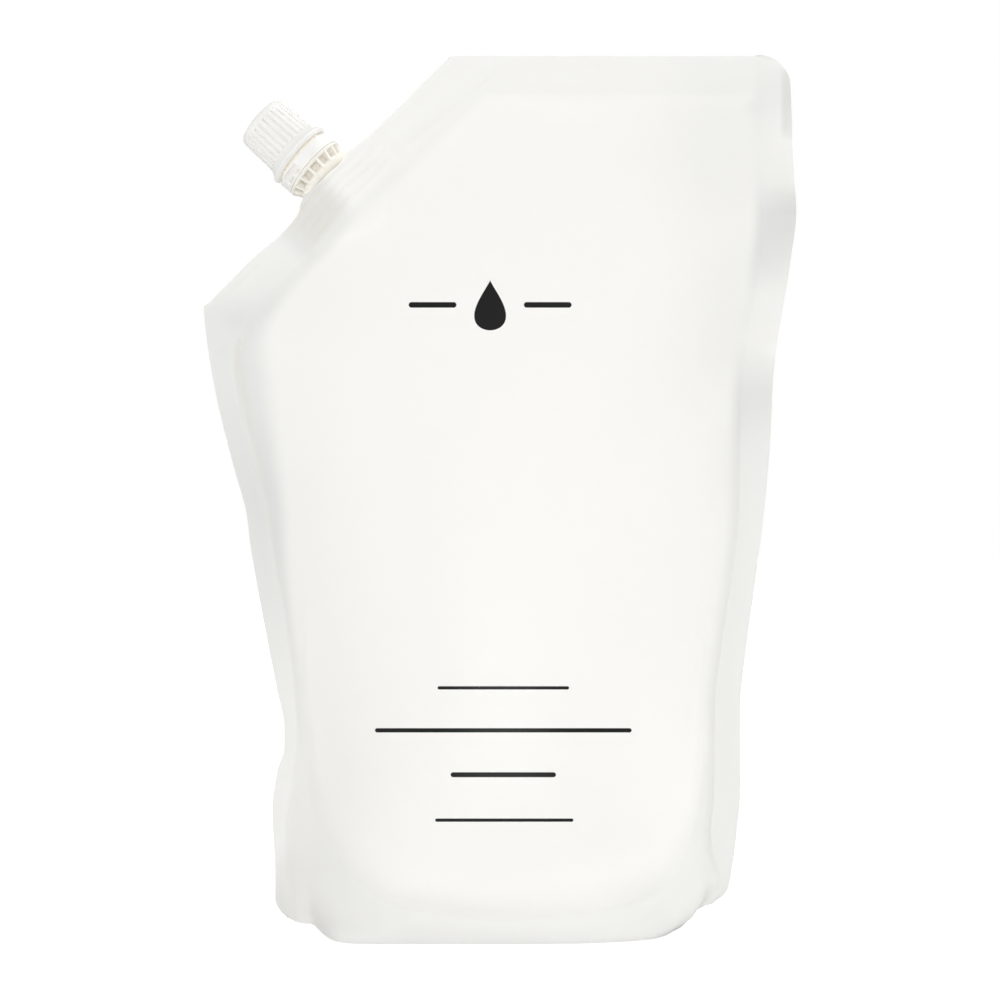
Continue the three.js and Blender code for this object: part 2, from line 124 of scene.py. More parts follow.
def past(value: Array, blend: float) -> Array:
    """Gives how far a value is past 0, with a rounded start.

    Args:
        value: What to judge.
        blend: Half width of the rounded start.

    Returns:
        Nothing well below 0, and the value itself well above it.
    """
    rounded_start = (value + blend) ** 2 / (4 * blend)
    return np.where(value > blend, value, np.where(value > -blend, rounded_start, 0.0))


def smooth_max(a: Array, b: Array, blend: float) -> Array:
    """The larger of two surfaces, with a rounded join between them.

    Args:
        a: First surface.
        b: Second surface.
        blend: Width of the rounded join.

    Returns:
        The joined surface.
    """
    h = np.clip(0.5 + 0.5 * (a - b) / blend, 0.0, 1.0)
    return b + (a - b) * h + blend * h * (1 - h)


# Modelling steps shared by the pieces


def start_afresh() -> None:
    """Deselects everything, so that the next operator acts on new work alone."""
    if bpy.context.object and bpy.context.object.mode != "OBJECT":
        bpy.ops.object.mode_set(mode="OBJECT")
    bpy.ops.object.select_all(action="DESELECT")


def edit(obj: bpy.types.Object, mode: str = "VERT") -> None:
    """Opens a piece in edit mode with nothing selected.

    Args:
        obj: The piece to open.
        mode: Kind of element to select, as Blender names it.
    """
    if bpy.context.object is not obj or obj.mode != "EDIT":
        start_afresh()
        bpy.context.view_layer.objects.active = obj
        obj.select_set(True)
        bpy.ops.object.mode_set(mode="EDIT")
    bpy.ops.mesh.select_mode(type=mode)
    bpy.ops.mesh.select_all(action="DESELECT")


def leave_edit() -> None:
    """Goes back to object mode."""
    bpy.ops.object.mode_set(mode="OBJECT")


def pick_vertices(obj: bpy.types.Object, wanted: Callable[[Vector], bool]) -> None:
    """Selects vertices by their place, and leaves the piece in edit mode.

    Args:
        obj: The piece, in edit mode.
        wanted: Says whether a vertex at that place is meant.
    """
    leave_edit()
    for vertex in obj.data.vertices:
        vertex.select = wanted(vertex.co)
    bpy.ops.object.mode_set(mode="EDIT")


def pick_faces(obj: bpy.types.Object, wanted: Callable[[Array, Array], Array]) -> None:
    """Selects faces by their centres and normals, and leaves the piece in edit mode.

    Args:
        obj: The piece, in edit mode with faces as its selection.
        wanted: Says which faces are meant, from their centres and normals, one row each.
    """
    leave_edit()
    faces = obj.data.polygons
    centres, normals = np.empty(len(faces) * 3), np.empty(len(faces) * 3)
    faces.foreach_get("center", centres)
    faces.foreach_get("normal", normals)
    faces.foreach_set("select", wanted(centres.reshape(-1, 3), normals.reshape(-1, 3)))
    bpy.ops.object.mode_set(mode="EDIT")


def draw_rings(profile: Profile, start: tuple[float, float]) -> None:
    """Extrudes the selected ring of edges along a turned profile, to a point where the radius is 0.

    Args:
        profile: Radius and height of each further ring, in millimetres.
        start: Radius and height of the selected ring.
    """
    radius, height = start
    for next_radius, next_height in profile:
        climb = (0.0, 0.0, (next_height - height) * MM)
        bpy.ops.mesh.extrude_region_move(TRANSFORM_OT_translate={"value": climb})
        if next_radius == 0.0:
            bpy.ops.mesh.merge(type="CENTER")
            return
        share = next_radius / radius
        centre = (0.0, 0.0, next_height * MM)
        if abs(share - 1.0) > 1e-9:
            bpy.ops.transform.resize(value=(share, share, 1.0), center_override=centre)
        radius, height = next_radius, next_height


def turned(
    name: str, start: tuple[float, float], outer: Profile, inner: Profile, steps: int
) -> bpy.types.Object:
    """Turns a round piece from one circle, drawn up ring by ring on its outside and then on its inside.

    Args:
        name: Name of the new piece.
        start: Radius and height of the circle that both runs start from.
        outer: Rings of the first run, ending at radius 0 or where the second run ends.
        inner: Rings of the second run, or nothing where the first run comes back to its start.
        steps: Number of sides round the piece.

    Returns:
        The closed piece, about the Z axis.
    """
    start_afresh()
    half_side = math.pi / steps
    bpy.ops.mesh.primitive_circle_add(
        vertices=steps, radius=start[0] * MM, location=(0, 0, start[1] * MM), rotation=(0, 0, half_side)
    )
    obj = bpy.context.object
    obj.name = obj.data.name = name
    bpy.ops.object.transform_apply(location=True, rotation=True, scale=True)
    edit(obj)
    bpy.ops.mesh.select_all(action="SELECT")
    draw_rings(outer, start)
    if inner:
        edit(obj)
        least = (start[0] - 0.01) * MM
        pick_vertices(obj, lambda co: abs(co.z - start[1] * MM) < 1e-7 and co.xy.length > least)
        draw_rings(inner, start)
    if outer[-1][0] > 0.0:
        edit(obj, "EDGE")
        bpy.ops.mesh.select_non_manifold()
        bpy.ops.mesh.bridge_edge_loops()
    bpy.ops.mesh.select_all(action="SELECT")
    bpy.ops.mesh.remove_doubles(threshold=1e-7)
    bpy.ops.mesh.normals_make_consistent(inside=False)
    leave_edit()
    return obj


def with_modifier(obj: bpy.types.Object, kind: str, **settings: object) -> bpy.types.Object:
    """Adds one modifier to a piece and applies it.

    Args:
        obj: The piece.
        kind: Blender's name for the modifier.
        settings: Its settings.

    Returns:
        The same piece.
    """
    start_afresh()
    bpy.context.view_layer.objects.active = obj
    obj.select_set(True)
    modifier = obj.modifiers.new(kind.lower(), kind)
    for key, value in settings.items():
        setattr(modifier, key, value)
    bpy.ops.object.modifier_apply(modifier=modifier.name)
    return obj


def rounded(obj: bpy.types.Object, width: float, angle: float = 32.0, segments: int = 2) -> bpy.types.Object:
    """Rounds the sharp edges of a piece.

    Args:
        obj: The piece.
        width: Width of the rounding, in millimetres.
        angle: Edges sharper than this are rounded, in degrees.
        segments: Number of steps across the rounding.

    Returns:
        The same piece.
    """
    return with_modifier(
        obj, "BEVEL", width=width * MM, segments=segments, limit_method="ANGLE",
        angle_limit=math.radians(angle), use_clamp_overlap=True,
    )


def combined(
    target: bpy.types.Object, others: Sequence[bpy.types.Object], operation: str = "UNION"
) -> bpy.types.Object:
    """Combines closed pieces into one, and removes all but the first.

    Args:
        target: The piece that keeps its name.
        others: Pieces that are added to it, cut from it or meet it.
        operation: Blender's name for how they combine.

    Returns:
        The combined piece.
    """
    for other in others:
        with_modifier(target, "BOOLEAN", operation=operation, solver="MANIFOLD", object=other)
        bpy.data.objects.remove(other)
    return target


def smooth(obj: bpy.types.Object, angle: float = 35.0) -> None:
    """Shades a piece smoothly, apart from its sharp edges.

    Args:
        obj: The piece.
        angle: Edges sharper than this stay sharp, in degrees.
    """
    start_afresh()
    bpy.context.view_layer.objects.active = obj
    obj.select_set(True)
    bpy.ops.object.shade_smooth_by_angle(angle=math.radians(angle))


def vertex_places(obj: bpy.types.Object) -> Array:
    """Gives the places of a piece's vertices.

    Args:
        obj: The piece.

    Returns:
        The places in metres, one row each.
    """
    flat = np.empty(len(obj.data.vertices) * 3)
    obj.data.vertices.foreach_get("co", flat)
    return flat.reshape(-1, 3)


def note(obj: bpy.types.Object, name: str, share: Callable[[Array], Array]) -> None:
    """Notes a share at each vertex of a piece, for its finish to use.

    Args:
        obj: The piece.
        name: Name of the note.
        share: Gives the shares from the places of the vertices in millimetres, one row each.
    """
    layer = obj.data.attributes.new(name, "FLOAT", "POINT")
    layer.data.foreach_set("value", share(vertex_places(obj) / MM).astype(np.float32))


def placed(obj: bpy.types.Object, place: Matrix) -> None:
    """Moves a piece's mesh to its place in the pack, and leaves its object at the origin.

    Args:
        obj: The piece, modelled in its own frame.
        place: Where that frame lies in the pack.
    """
    obj.data.transform(place)
    obj.data.update()


def finished(
    obj: bpy.types.Object, material: bpy.types.Material, body: str, node: str
) -> bpy.types.Object:
    """Gives a piece its finish, and ties it to its body and its node of the CAD model.

    Args:
        obj: The piece.
        material: Its only material.
        body: The body that it rides.
        node: The node that it stands for.

    Returns:
        The same piece.
    """
    obj.data.materials.clear()
    obj.data.materials.append(material)
    obj.data.polygons.foreach_set("material_index", np.zeros(len(obj.data.polygons), dtype=np.int32))
    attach(obj, body)
    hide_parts(node)
    return obj


# Finishes


@dataclass(frozen=True)
class Nodes:
    """A node tree, with short ways to add and join its nodes."""

    tree: bpy.types.NodeTree

    def add(self, kind: str, **settings: object) -> bpy.types.Node:
        """Adds a node.

        Args:
            kind: Blender's name for the node.
            settings: Settings of the node itself.

        Returns:
            The new node.
        """
        node = self.tree.nodes.new(kind)
        for key, value in settings.items():
            setattr(node, key, value)
        return node

    def join(self, source: bpy.types.NodeSocket, target: bpy.types.NodeSocket) -> None:
        """Joins one node's output to another's input."""
        self.tree.links.new(source, target)

    def math(self, operation: str, *inputs: object) -> bpy.types.NodeSocket:
        """Adds a sum on sockets or numbers.

        Args:
            operation: Blender's name for the sum.
            inputs: Sockets or numbers, in the node's order.

        Returns:
            The socket with the result.
        """
        node = self.add("ShaderNodeMath", operation=operation)
        for socket, value in zip(node.inputs, inputs):
            if isinstance(value, bpy.types.NodeSocket):
                self.join(value, socket)
            else:
                socket.default_value = value
        return node.outputs[0]

    def mixed(self, share: object, low: object, high: object) -> bpy.types.NodeSocket:
        """Mixes two colours.

        Args:
            share: Socket with the share of the second colour.
            low: First colour, as a socket or three numbers.
            high: Second colour, as a socket or three numbers.

        Returns:
            The socket with the mixed colour.
        """
        node = self.add("ShaderNodeMix", data_type="RGBA")
        self.join(share, node.inputs[0])
        for socket, value in ((node.inputs[6], low), (node.inputs[7], high)):
            if isinstance(value, bpy.types.NodeSocket):
                self.join(value, socket)
            else:
                socket.default_value = (*value, 1.0)
        return node.outputs[2]

    def mixed_shader(
        self, share: bpy.types.NodeSocket, low: bpy.types.NodeSocket, high: bpy.types.NodeSocket
    ) -> bpy.types.NodeSocket:
        """Mixes two shaders.

        Args:
            share: Socket with the share of the second shader.
            low: First shader.
            high: Second shader.

        Returns:
            The socket with the mixed shader.
        """
        node = self.add("ShaderNodeMixShader")
        for source, target in zip((share, low, high), node.inputs):
            self.join(source, target)
        return node.outputs[0]

    def clamped(self, value: bpy.types.NodeSocket) -> bpy.types.NodeSocket:
        """Keeps a value between 0 and 1."""
        return self.math("MINIMUM", self.math("MAXIMUM", value, 0.0), 1.0)

    def noted(self, name: str) -> bpy.types.NodeSocket:
        """Reads a share that note() left at the vertices."""
        return self.add("ShaderNodeAttribute", attribute_name=name).outputs["Fac"]

    def noise(self, coords: bpy.types.NodeSocket, scale: float, detail: float) -> bpy.types.NodeSocket:
        """Adds a cloudy noise.

        Args:
            coords: Where to look it up, in metres.
            scale: Its fineness.
            detail: Number of finer layers in it.

        Returns:
            The socket with the noise.
        """
        node = self.add("ShaderNodeTexNoise")
        node.inputs["Scale"].default_value = scale
        node.inputs["Detail"].default_value = detail
        self.join(coords, node.inputs["Vector"])
        return node.outputs["Fac"]

    def bump(self, shader: bpy.types.Node, height: bpy.types.NodeSocket, strength: float, depth: float) -> None:
        """Gives a shader a fine relief.

        Args:
            shader: The shader.
            height: Socket with the relief's height.
            strength: Share of the relief that shows.
            depth: Depth of the relief, in millimetres.
        """
        node = self.add("ShaderNodeBump")
        node.inputs["Strength"].default_value = strength
        node.inputs["Distance"].default_value = depth * MM
        self.join(height, node.inputs["Height"])
        self.join(node.outputs["Normal"], shader.inputs["Normal"])


def new_material(name: str) -> tuple[bpy.types.Material, Nodes, bpy.types.Node]:
    """Makes a material with a Principled shader.

    Args:
        name: Name of the material.

    Returns:
        The material, its nodes, and the shader among them.
    """
    material = bpy.data.materials.new(name)
    material.use_nodes = True
    return material, Nodes(material.node_tree), material.node_tree.nodes["Principled BSDF"]


@dataclass(frozen=True)
class Bar:
    """A plain printed bar that stands where the real pack has a line of print."""

    height: float
    middle: float
    length: float
    weight: float


@dataclass(frozen=True)
class FilmFinish:
    """Satin white laminate film, cooler and darker in its seals, with painted shade in its bends, folds and
    shaded places, and plain shapes for its print.
    """

    body: tuple[float, float, float] = (0.925, 0.917, 0.888)
    # Seal colour, which the film also takes on as painted shade in its bends and shaded places.
    seal_and_shade: tuple[float, float, float] = (0.735, 0.743, 0.725)
    # Warm painted shade for tight folds, the weld's grooves and the boat's lower half.
    painted_fold_shade: tuple[float, float, float] = (0.78, 0.74, 0.66)
    ink: tuple[float, float, float] = (0.004, 0.004, 0.004)
    cloudiness: float = 0.12
    cloud_scale: float = 14.0
    cloud_detail: float = 3.0
    grain_scale: float = 900.0
    grain_detail: float = 2.0
    relief: float = 0.08
    relief_depth: float = 0.05
    roughness: float = 0.42
    roughness_spread: float = 0.12
    specular: float = 0.25
    edge_sharpness: float = 8.0
    drop_height: float = 184.5
    drop_middle: float = -3.0
    drop_length: float = 15.5
    drop_half_width: float = 4.9
    drop_point: float = 1.25
    drop_trim: float = 0.07
    bars: tuple[Bar, ...] = (
        Bar(184.5, -20.5, 14.5, 1.7),
        Bar(184.5, 14.5, 14.5, 1.7),
        Bar(68.1, 1.0, 40.0, 1.0),
        Bar(55.2, 1.0, 78.0, 1.3),
        Bar(41.7, 1.0, 32.0, 1.5),
        Bar(27.9, 1.3, 42.0, 1.0),
    )

    def make(self) -> bpy.types.Material:
        """Builds the material.

        Returns:
            The new material.
        """
        material, nodes, shader = new_material("satin_film")
        coords = nodes.add("ShaderNodeTexCoord").outputs["Object"]
        cloud = nodes.noise(coords, self.cloud_scale, self.cloud_detail)
        grain = nodes.noise(coords, self.grain_scale, self.grain_detail)
        shade = nodes.math("MULTIPLY_ADD", cloud, self.cloudiness, -self.cloudiness / 2)
        # Mixes in the seal colour, which also serves as painted shade, and then the warm painted shade of the
        # folds.
        seal_and_painted_shade = nodes.clamped(nodes.math("ADD", nodes.noted("seal_and_painted_shade"), shade))
        film = nodes.mixed(nodes.noted("fold"), nodes.mixed(seal_and_painted_shade, self.body, self.seal_and_shade), self.painted_fold_shade)
        nodes.join(nodes.mixed(self.print_mask(nodes, coords), film, self.ink), shader.inputs["Base Color"])
        smoothest = self.roughness - self.roughness_spread / 2
        rough = nodes.math("MULTIPLY_ADD", cloud, self.roughness_spread, smoothest)
        nodes.join(rough, shader.inputs["Roughness"])
        nodes.bump(shader, grain, self.relief, self.relief_depth)
        shader.inputs["Specular IOR Level"].default_value = self.specular
        return material

    def print_mask(self, nodes: Nodes, coords: bpy.types.NodeSocket) -> bpy.types.NodeSocket:
        """Adds the printed drop and bars on the front of the pack, laid out to look straight from the camera.

        Args:
            nodes: The material's nodes.
            coords: The piece's own coordinates.

        Returns:
            A socket that is 1 on the print and 0 off it.
        """
        split = nodes.add("ShaderNodeSeparateXYZ")
        scaled = nodes.add("ShaderNodeVectorMath", operation="SCALE")
        scaled.inputs["Scale"].default_value = 1.0 / MM
        nodes.join(coords, scaled.inputs[0])
        nodes.join(scaled.outputs[0], split.inputs[0])
        across, depth, up = split.outputs
        shrink = nodes.math("DIVIDE", CAMERA_DISTANCE, nodes.math("ADD", depth, CAMERA_DISTANCE))
        across = nodes.math("MULTIPLY", across, shrink)
        below_eye = nodes.math("MULTIPLY", nodes.math("SUBTRACT", CAMERA_HEIGHT, up), shrink)
        up = nodes.math("SUBTRACT", CAMERA_HEIGHT, below_eye)
        inked = self.drop_mask(nodes, across, up)
        for bar in self.bars:
            inked = nodes.math("MAXIMUM", inked, self.bar_mask(nodes, across, up, bar))
        return nodes.math("MULTIPLY", inked, nodes.math("LESS_THAN", depth, -1.0))

    def bar_mask(
        self, nodes: Nodes, across: bpy.types.NodeSocket, up: bpy.types.NodeSocket, bar: Bar
    ) -> bpy.types.NodeSocket:
        """Masks one bar with round ends.

        Args:
            nodes: The material's nodes.
            across: Place across the pack, in millimetres.
            up: Height on the pack, in millimetres.
            bar: The bar.

        Returns:
            A socket that is 1 on the bar.
        """
        aside = nodes.math("ABSOLUTE", nodes.math("SUBTRACT", across, bar.middle))
        past = nodes.math("MAXIMUM", nodes.math("SUBTRACT", aside, (bar.length - bar.weight) / 2), 0.0)
        above = nodes.math("SUBTRACT", up, bar.height)
        squares = nodes.math("ADD", nodes.math("MULTIPLY", past, past), nodes.math("MULTIPLY", above, above))
        return self.inside(nodes, nodes.math("SUBTRACT", bar.weight / 2, nodes.math("SQRT", squares)))

    def drop_mask(
        self, nodes: Nodes, across: bpy.types.NodeSocket, up: bpy.types.NodeSocket
    ) -> bpy.types.NodeSocket:
        """Masks a plain soap drop, round below and pointed above.

        Args:
            nodes: The material's nodes.
            across: Place across the pack, in millimetres.
            up: Height on the pack, in millimetres.

        Returns:
            A socket that is 1 on the drop.
        """
        low = self.drop_height - self.drop_length / 2
        share = nodes.clamped(nodes.math("DIVIDE", nodes.math("SUBTRACT", up, low), self.drop_length))
        round_end = nodes.math("SQRT", share)
        point = nodes.math("POWER", nodes.math("SUBTRACT", 1.0, share), self.drop_point)
        # Half width of the bare curve near 0.28 of its length, where it is widest.
        widest = 0.527 * 0.722**self.drop_point
        half = nodes.math("MULTIPLY", nodes.math("MULTIPLY", round_end, point), self.drop_half_width / widest)
        aside = nodes.math("ABSOLUTE", nodes.math("SUBTRACT", across, self.drop_middle))
        inward = nodes.math("SUBTRACT", half, aside)
        return self.inside(nodes, nodes.math("SUBTRACT", inward, self.drop_trim))

    def inside(self, nodes: Nodes, distance: bpy.types.NodeSocket) -> bpy.types.NodeSocket:
        """Turns a distance in from an edge, in millimetres, into a mask with a fine soft edge."""
        return nodes.clamped(nodes.math("MULTIPLY_ADD", distance, self.edge_sharpness, 0.5))


@dataclass(frozen=True)
class MouldedFinish:
    """Moulded polyethylene: semi-gloss, slightly uneven, with painted shade and a painted glow in its recesses.
    """

    name: str
    colour: tuple[float, float, float]
    uneven: tuple[float, float, float]
    # Colour of the painted shade in recesses, and of their painted glow.
    deep: tuple[float, float, float]
    roughness: float = 0.42
    roughness_spread: float = 0.16
    cloud_scale: float = 160.0
    cloud_detail: float = 3.0
    grain_scale: float = 1400.0
    grain_detail: float = 2.0
    relief: float = 0.05
    relief_depth: float = 0.01
    specular: float = 0.3

    def make(self) -> bpy.types.Material:
        """Builds the material.

        Returns:
            The new material.
        """
        material, nodes, shader = new_material(self.name)
        coords = nodes.add("ShaderNodeTexCoord").outputs["Object"]
        cloud = nodes.noise(coords, self.cloud_scale, self.cloud_detail)
        grain = nodes.noise(coords, self.grain_scale, self.grain_detail)
        plain = nodes.mixed(cloud, self.colour, self.uneven)
        # Painted shade in the recesses, and a painted glow there in the same colour.
        nodes.join(nodes.mixed(nodes.noted("recess_shade"), plain, self.deep), shader.inputs["Base Color"])
        shader.inputs["Emission Color"].default_value = (*self.deep, 1.0)
        nodes.join(nodes.noted("glow"), shader.inputs["Emission Strength"])
        smoothest = self.roughness - self.roughness_spread / 2
        rough = nodes.math("MULTIPLY_ADD", cloud, self.roughness_spread, smoothest)
        nodes.join(rough, shader.inputs["Roughness"])
        nodes.bump(shader, grain, self.relief, self.relief_depth)
        shader.inputs["Specular IOR Level"].default_value = self.specular
        return material


# The film


@dataclass(frozen=True)
class Dent:
    """A soft hollow (or, with a negative depth, a swelling) in one film wall."""

    across: float
    height: float
    length: float
    width: float
    depth: float
    turn: float = 0.0
    side: Side = Side.FRONT

    def at(self, x: Array, z: Array) -> Array:
        """Gives how far the wall is pushed in.

        Args:
            x: Places across the pack.
            z: Heights on the pack.

        Returns:
            The depth of the hollow at each point.
        """
        cos, sin = math.cos(math.radians(self.turn)), math.sin(math.radians(self.turn))
        along = (x - self.across) * cos + (z - self.height) * sin
        aside = (z - self.height) * cos - (x - self.across) * sin
        return self.depth * np.exp(-((along / self.length) ** 2) - (aside / self.width) ** 2)


@dataclass(frozen=True)
class Crease:
    """A narrow fold along a straight line in one film wall: a ridge, or a groove with a negative height."""

    start: tuple[float, float]
    end: tuple[float, float]
    height: float
    width: float
    side: Side = Side.FRONT

    def at(self, x: Array, z: Array) -> Array:
        """Gives how far the wall stands out.

        Args:
            x: Places across the pack.
            z: Heights on the pack.

        Returns:
            The height of the fold at each point.
        """
        run = np.array(self.end) - np.array(self.start)
        length = float(np.hypot(*run))
        along = ((x - self.start[0]) * run[0] + (z - self.start[1]) * run[1]) / length
        aside = ((x - self.start[0]) * run[1] - (z - self.start[1]) * run[0]) / length
        fade = smooth_step(along, -self.width, self.width * 2) * (
            1 - smooth_step(along, length - self.width * 2, length + self.width)
        )
        return self.height * fade * np.exp(-((aside / self.width) ** 2))


@dataclass
class SpoutSeat:
    """Where the spout sits on the cut corner, and the boat that the film is welded to."""

    across: float = -52.674
    height: float = 222.674
    lean: float = 48.5
    boat_half_length: float = 18.6
    boat_half_width: float = 6.6
    ridge_radius: float = 3.0
    groove_depth: float = 0.35
    groove_width: float = 0.6
    grooves: tuple[float, ...] = (-1.5, -4.35, -7.2, -10.05)
    boat_low: float = -12.3
    weld_half_length: float = 21.0
    weld_low: float = -14.5
    weld_high: float = 3.0

    def matrix(self) -> Matrix:
        """Gives the place of the spout's own frame in the pack, in metres."""
        turn = Matrix.Rotation(-math.radians(self.lean), 4, "Y")
        return Matrix.Translation((self.across * MM, 0.0, self.height * MM)) @ turn

    def local(self, x: Array, z: Array) -> tuple[Array, Array]:
        """Gives places along the cut edge and out along the spout's axis.

        Args:
            x: Places across the pack.
            z: Heights on the pack.

        Returns:
            Places along the cut, rising to the right, and places along the axis, rising outwards.
        """
        cos, sin = math.cos(math.radians(self.lean)), math.sin(math.radians(self.lean))
        along = (x - self.across) * cos + (z - self.height) * sin
        out = (z - self.height) * cos - (x - self.across) * sin
        return along, out

    def bulge(self, x: Array, z: Array) -> Array:
        """Gives the half depth of the film over the boat, with the grooves between its welded ridges.

        Args:
            x: Places across the pack.
            z: Heights on the pack.

        Returns:
            The half depth, or below 0 away from the boat.
        """
        along, out = self.local(x, z)
        slope_run = np.hypot(along, self.ridge_radius) - self.ridge_radius
        whole_run = math.hypot(self.boat_half_length, self.ridge_radius) - self.ridge_radius
        roof = self.boat_half_width * (1 - slope_run / whole_run)
        fall = past(self.boat_low - out, 2.5) * 0.32
        inner = smooth_step(self.boat_half_length + 0.8 - np.abs(along), 0.0, 1.6)
        cut = sum(np.exp(-(((out - groove) / self.groove_width) ** 2)) for groove in self.grooves)
        return roof - fall - self.groove_depth * cut * inner


@dataclass
class FilmPouch:
    """The filled film pouch, shut by its seals: front and back walls, their seals, and the gusset film of its
    base.
    """

    name: str = "film_pouch"
    height: float = 260.0
    half_width: float = 90.0
    corner_cut: float = 75.5
    corner_radius: float = 9.5
    film: float = 0.6
    seal_half: float = 0.28
    top_seal: float = 12.0
    cut_seal: float = 12.0
    inner_corner: float = 14.0
    # How far the lower left corner is folded forward, by place across.
    left_foot: Curve = field(default_factory=lambda: Curve(
        (-69, 0.5), (-64.7, 7.0), (-63.1, 9.3), (-61.7, 11.0), (-59.2, 11.6), (-56.7, 10.6), (-53.6, 8.0),
        (-50.5, 4.6), (-47.8, 2.0), (-45.3, 0.7), (-40, 0.0),
    ))
    columns: tuple[int, int, int] = (16, 130, 16)
    gusset_rows: int = 36
    gusset_clearance: float = 3.0
    gusset_reach: float = 58.0
    gusset_wall: float = 0.55
    gusset_tone: float = 0.2
    seal_line_ends: tuple[float, float] = (-60.0, 62.0)
    seal_groove: float = 1.0
    seal_groove_width: float = 2.2
    seal_ridge: float = 0.9
    seal_ridge_above: float = 6.5
    seal_ridge_width: float = 5.0
    right_foot_lift: float = 2.7
    weld_cuts: int = 2
    # The film's edges, by height.
    left: Curve = field(default_factory=lambda: Curve(
        (0, -64.6), (1.2, -66.9), (4, -68.3), (13, -68.4), (31, -69.2), (43, -67.6), (50, -65.6), (56, -65.6),
        (67.5, -67.8), (86, -71.4), (110, -75.6), (122, -77.2), (134, -80.5), (159, -86.6), (177, -89.4),
        (184.5, -90.0),
    ))
    right: Curve = field(default_factory=lambda: Curve(
        (0, 64.6), (2, 67.3), (5, 69.3), (13, 70.6), (25, 72.0), (37, 73.0), (62, 73.0), (80, 74.8), (98, 77.2),
        (128, 80.9), (146, 82.3), (159, 82.8), (171, 83.9), (195, 87.9), (212, 90.0), (226, 89.1), (244, 88.5),
        (260, 88.0),
    ))
    # Where the contents start on the left, and how wide the right seal is, by height.
    left_inner: Curve = field(default_factory=lambda: Curve(
        (0, -63.1), (6, -64.0), (14, -65.6), (26, -65.4), (40, -63.2), (52, -61.8), (64, -62.2), (89, -65.2),
        (107, -68.4), (122, -70.6), (134, -73.3), (159, -78.6), (177, -80.9), (190, -81.4),
    ))
    right_seal: Curve = field(default_factory=lambda: Curve(
        (0, 1.5), (26, 8.0), (110, 7.5), (150, 9.5), (260, 9.5),
    ))
    # How far the outer edge of each side seal bends back, by height.
    left_flap: Curve = field(default_factory=lambda: Curve(
        (20, 0.3), (34, 0.8), (64, 1.8), (89, 3.0), (107, 4.0), (128, 4.8), (140, 4.4), (152, 3.6), (163, 3.0),
        (172, 3.7), (181, 4.4), (190, 2.0), (206, 0.4), (215, 0.0),
    ))
    right_flap: Curve = field(default_factory=lambda: Curve(
        (20, -0.6), (64, -1.2), (107, -1.3), (131, -1.5), (143, -2.2), (150, -3.4), (156, -4.2), (162, -2.6),
        (168, -0.3), (174, 2.4), (180, 1.2), (186, -0.3), (192, -2.6), (198, -4.8), (204, -6.5), (210, -7.5),
        (216, -4.8), (222, -1.3), (232, 0.6), (241, -1.3), (247, -2.0), (260, -1.4),
    ))
    # How deep each wall is at its middle, by height.
    front_depth: Curve = field(default_factory=lambda: Curve(
        (0, 35.6), (38, 38.0), (100, 30.5), (158, 19.0), (205, 9.0), (248, 0.0),
    ))
    back_depth: Curve = field(default_factory=lambda: Curve(
        (0, 35.6), (36, 38.0), (100, 30.0), (158, 18.5), (208, 8.0), (248, 0.0),
    ))
    body_squareness: float = 2.2
    # Plan of both walls on the floor and above it, by share across, and how the two blend, by height.
    foot_plan: Curve = field(default_factory=lambda: Curve(
        (-1.0, 0.0), (-0.978, 0.02), (-0.938, 0.034), (-0.898, 0.096), (-0.849, 0.36), (-0.8, 0.643),
        (-0.758, 0.837), (-0.718, 0.933), (-0.634, 0.99), (-0.5, 1.0), (0.0, 1.0), (0.34, 0.985), (0.54, 0.93),
        (0.68, 0.86), (0.74, 0.78), (0.8, 0.61), (0.85, 0.45), (0.93, 0.04), (1.0, 0.0),
    ))
    base_plan: Curve = field(default_factory=lambda: Curve(
        (-1.0, 0.0), (-0.93, 0.14), (-0.86, 0.3), (-0.79, 0.47), (-0.72, 0.63), (-0.65, 0.77), (-0.58, 0.87),
        (-0.5, 0.95), (-0.4, 0.99), (-0.3, 1.0), (0.0, 1.0), (0.34, 0.985), (0.54, 0.94), (0.68, 0.86),
        (0.76, 0.76), (0.83, 0.61), (0.89, 0.43), (0.95, 0.2), (1.0, 0.0),
    ))
    foot_blend: Curve = field(default_factory=lambda: Curve((1, 1.0), (8, 0.5), (18, 0.1), (26, 0.0)))
    # How far the cut edge stands out, square to itself, by distance along it from the seat.
    cut_shift: Curve = field(default_factory=lambda: Curve(
        (-44, -0.5), (-36, -0.45), (-30, -0.9), (-24, -1.5), (-18, -1.4), (-14.5, -0.9), (-11.5, 0.2),
        (-9, 0.7), (-5, 0.4), (0, 0.0), (8, 0.3), (14, 0.95), (18, 0.65), (24, 0.6), (30, 0.4), (44, 0.45),
    ))
    # Height of the curved seal of the base, by place across.
    seal_line: Curve = field(default_factory=lambda: Curve(
        (-60, 47), (-56.5, 36), (-52, 27), (-42, 17.7), (-28, 10.6), (0, 7.2), (34, 10.2), (46, 13.8), (55, 22),
        (59, 32), (62, 46),
    ))
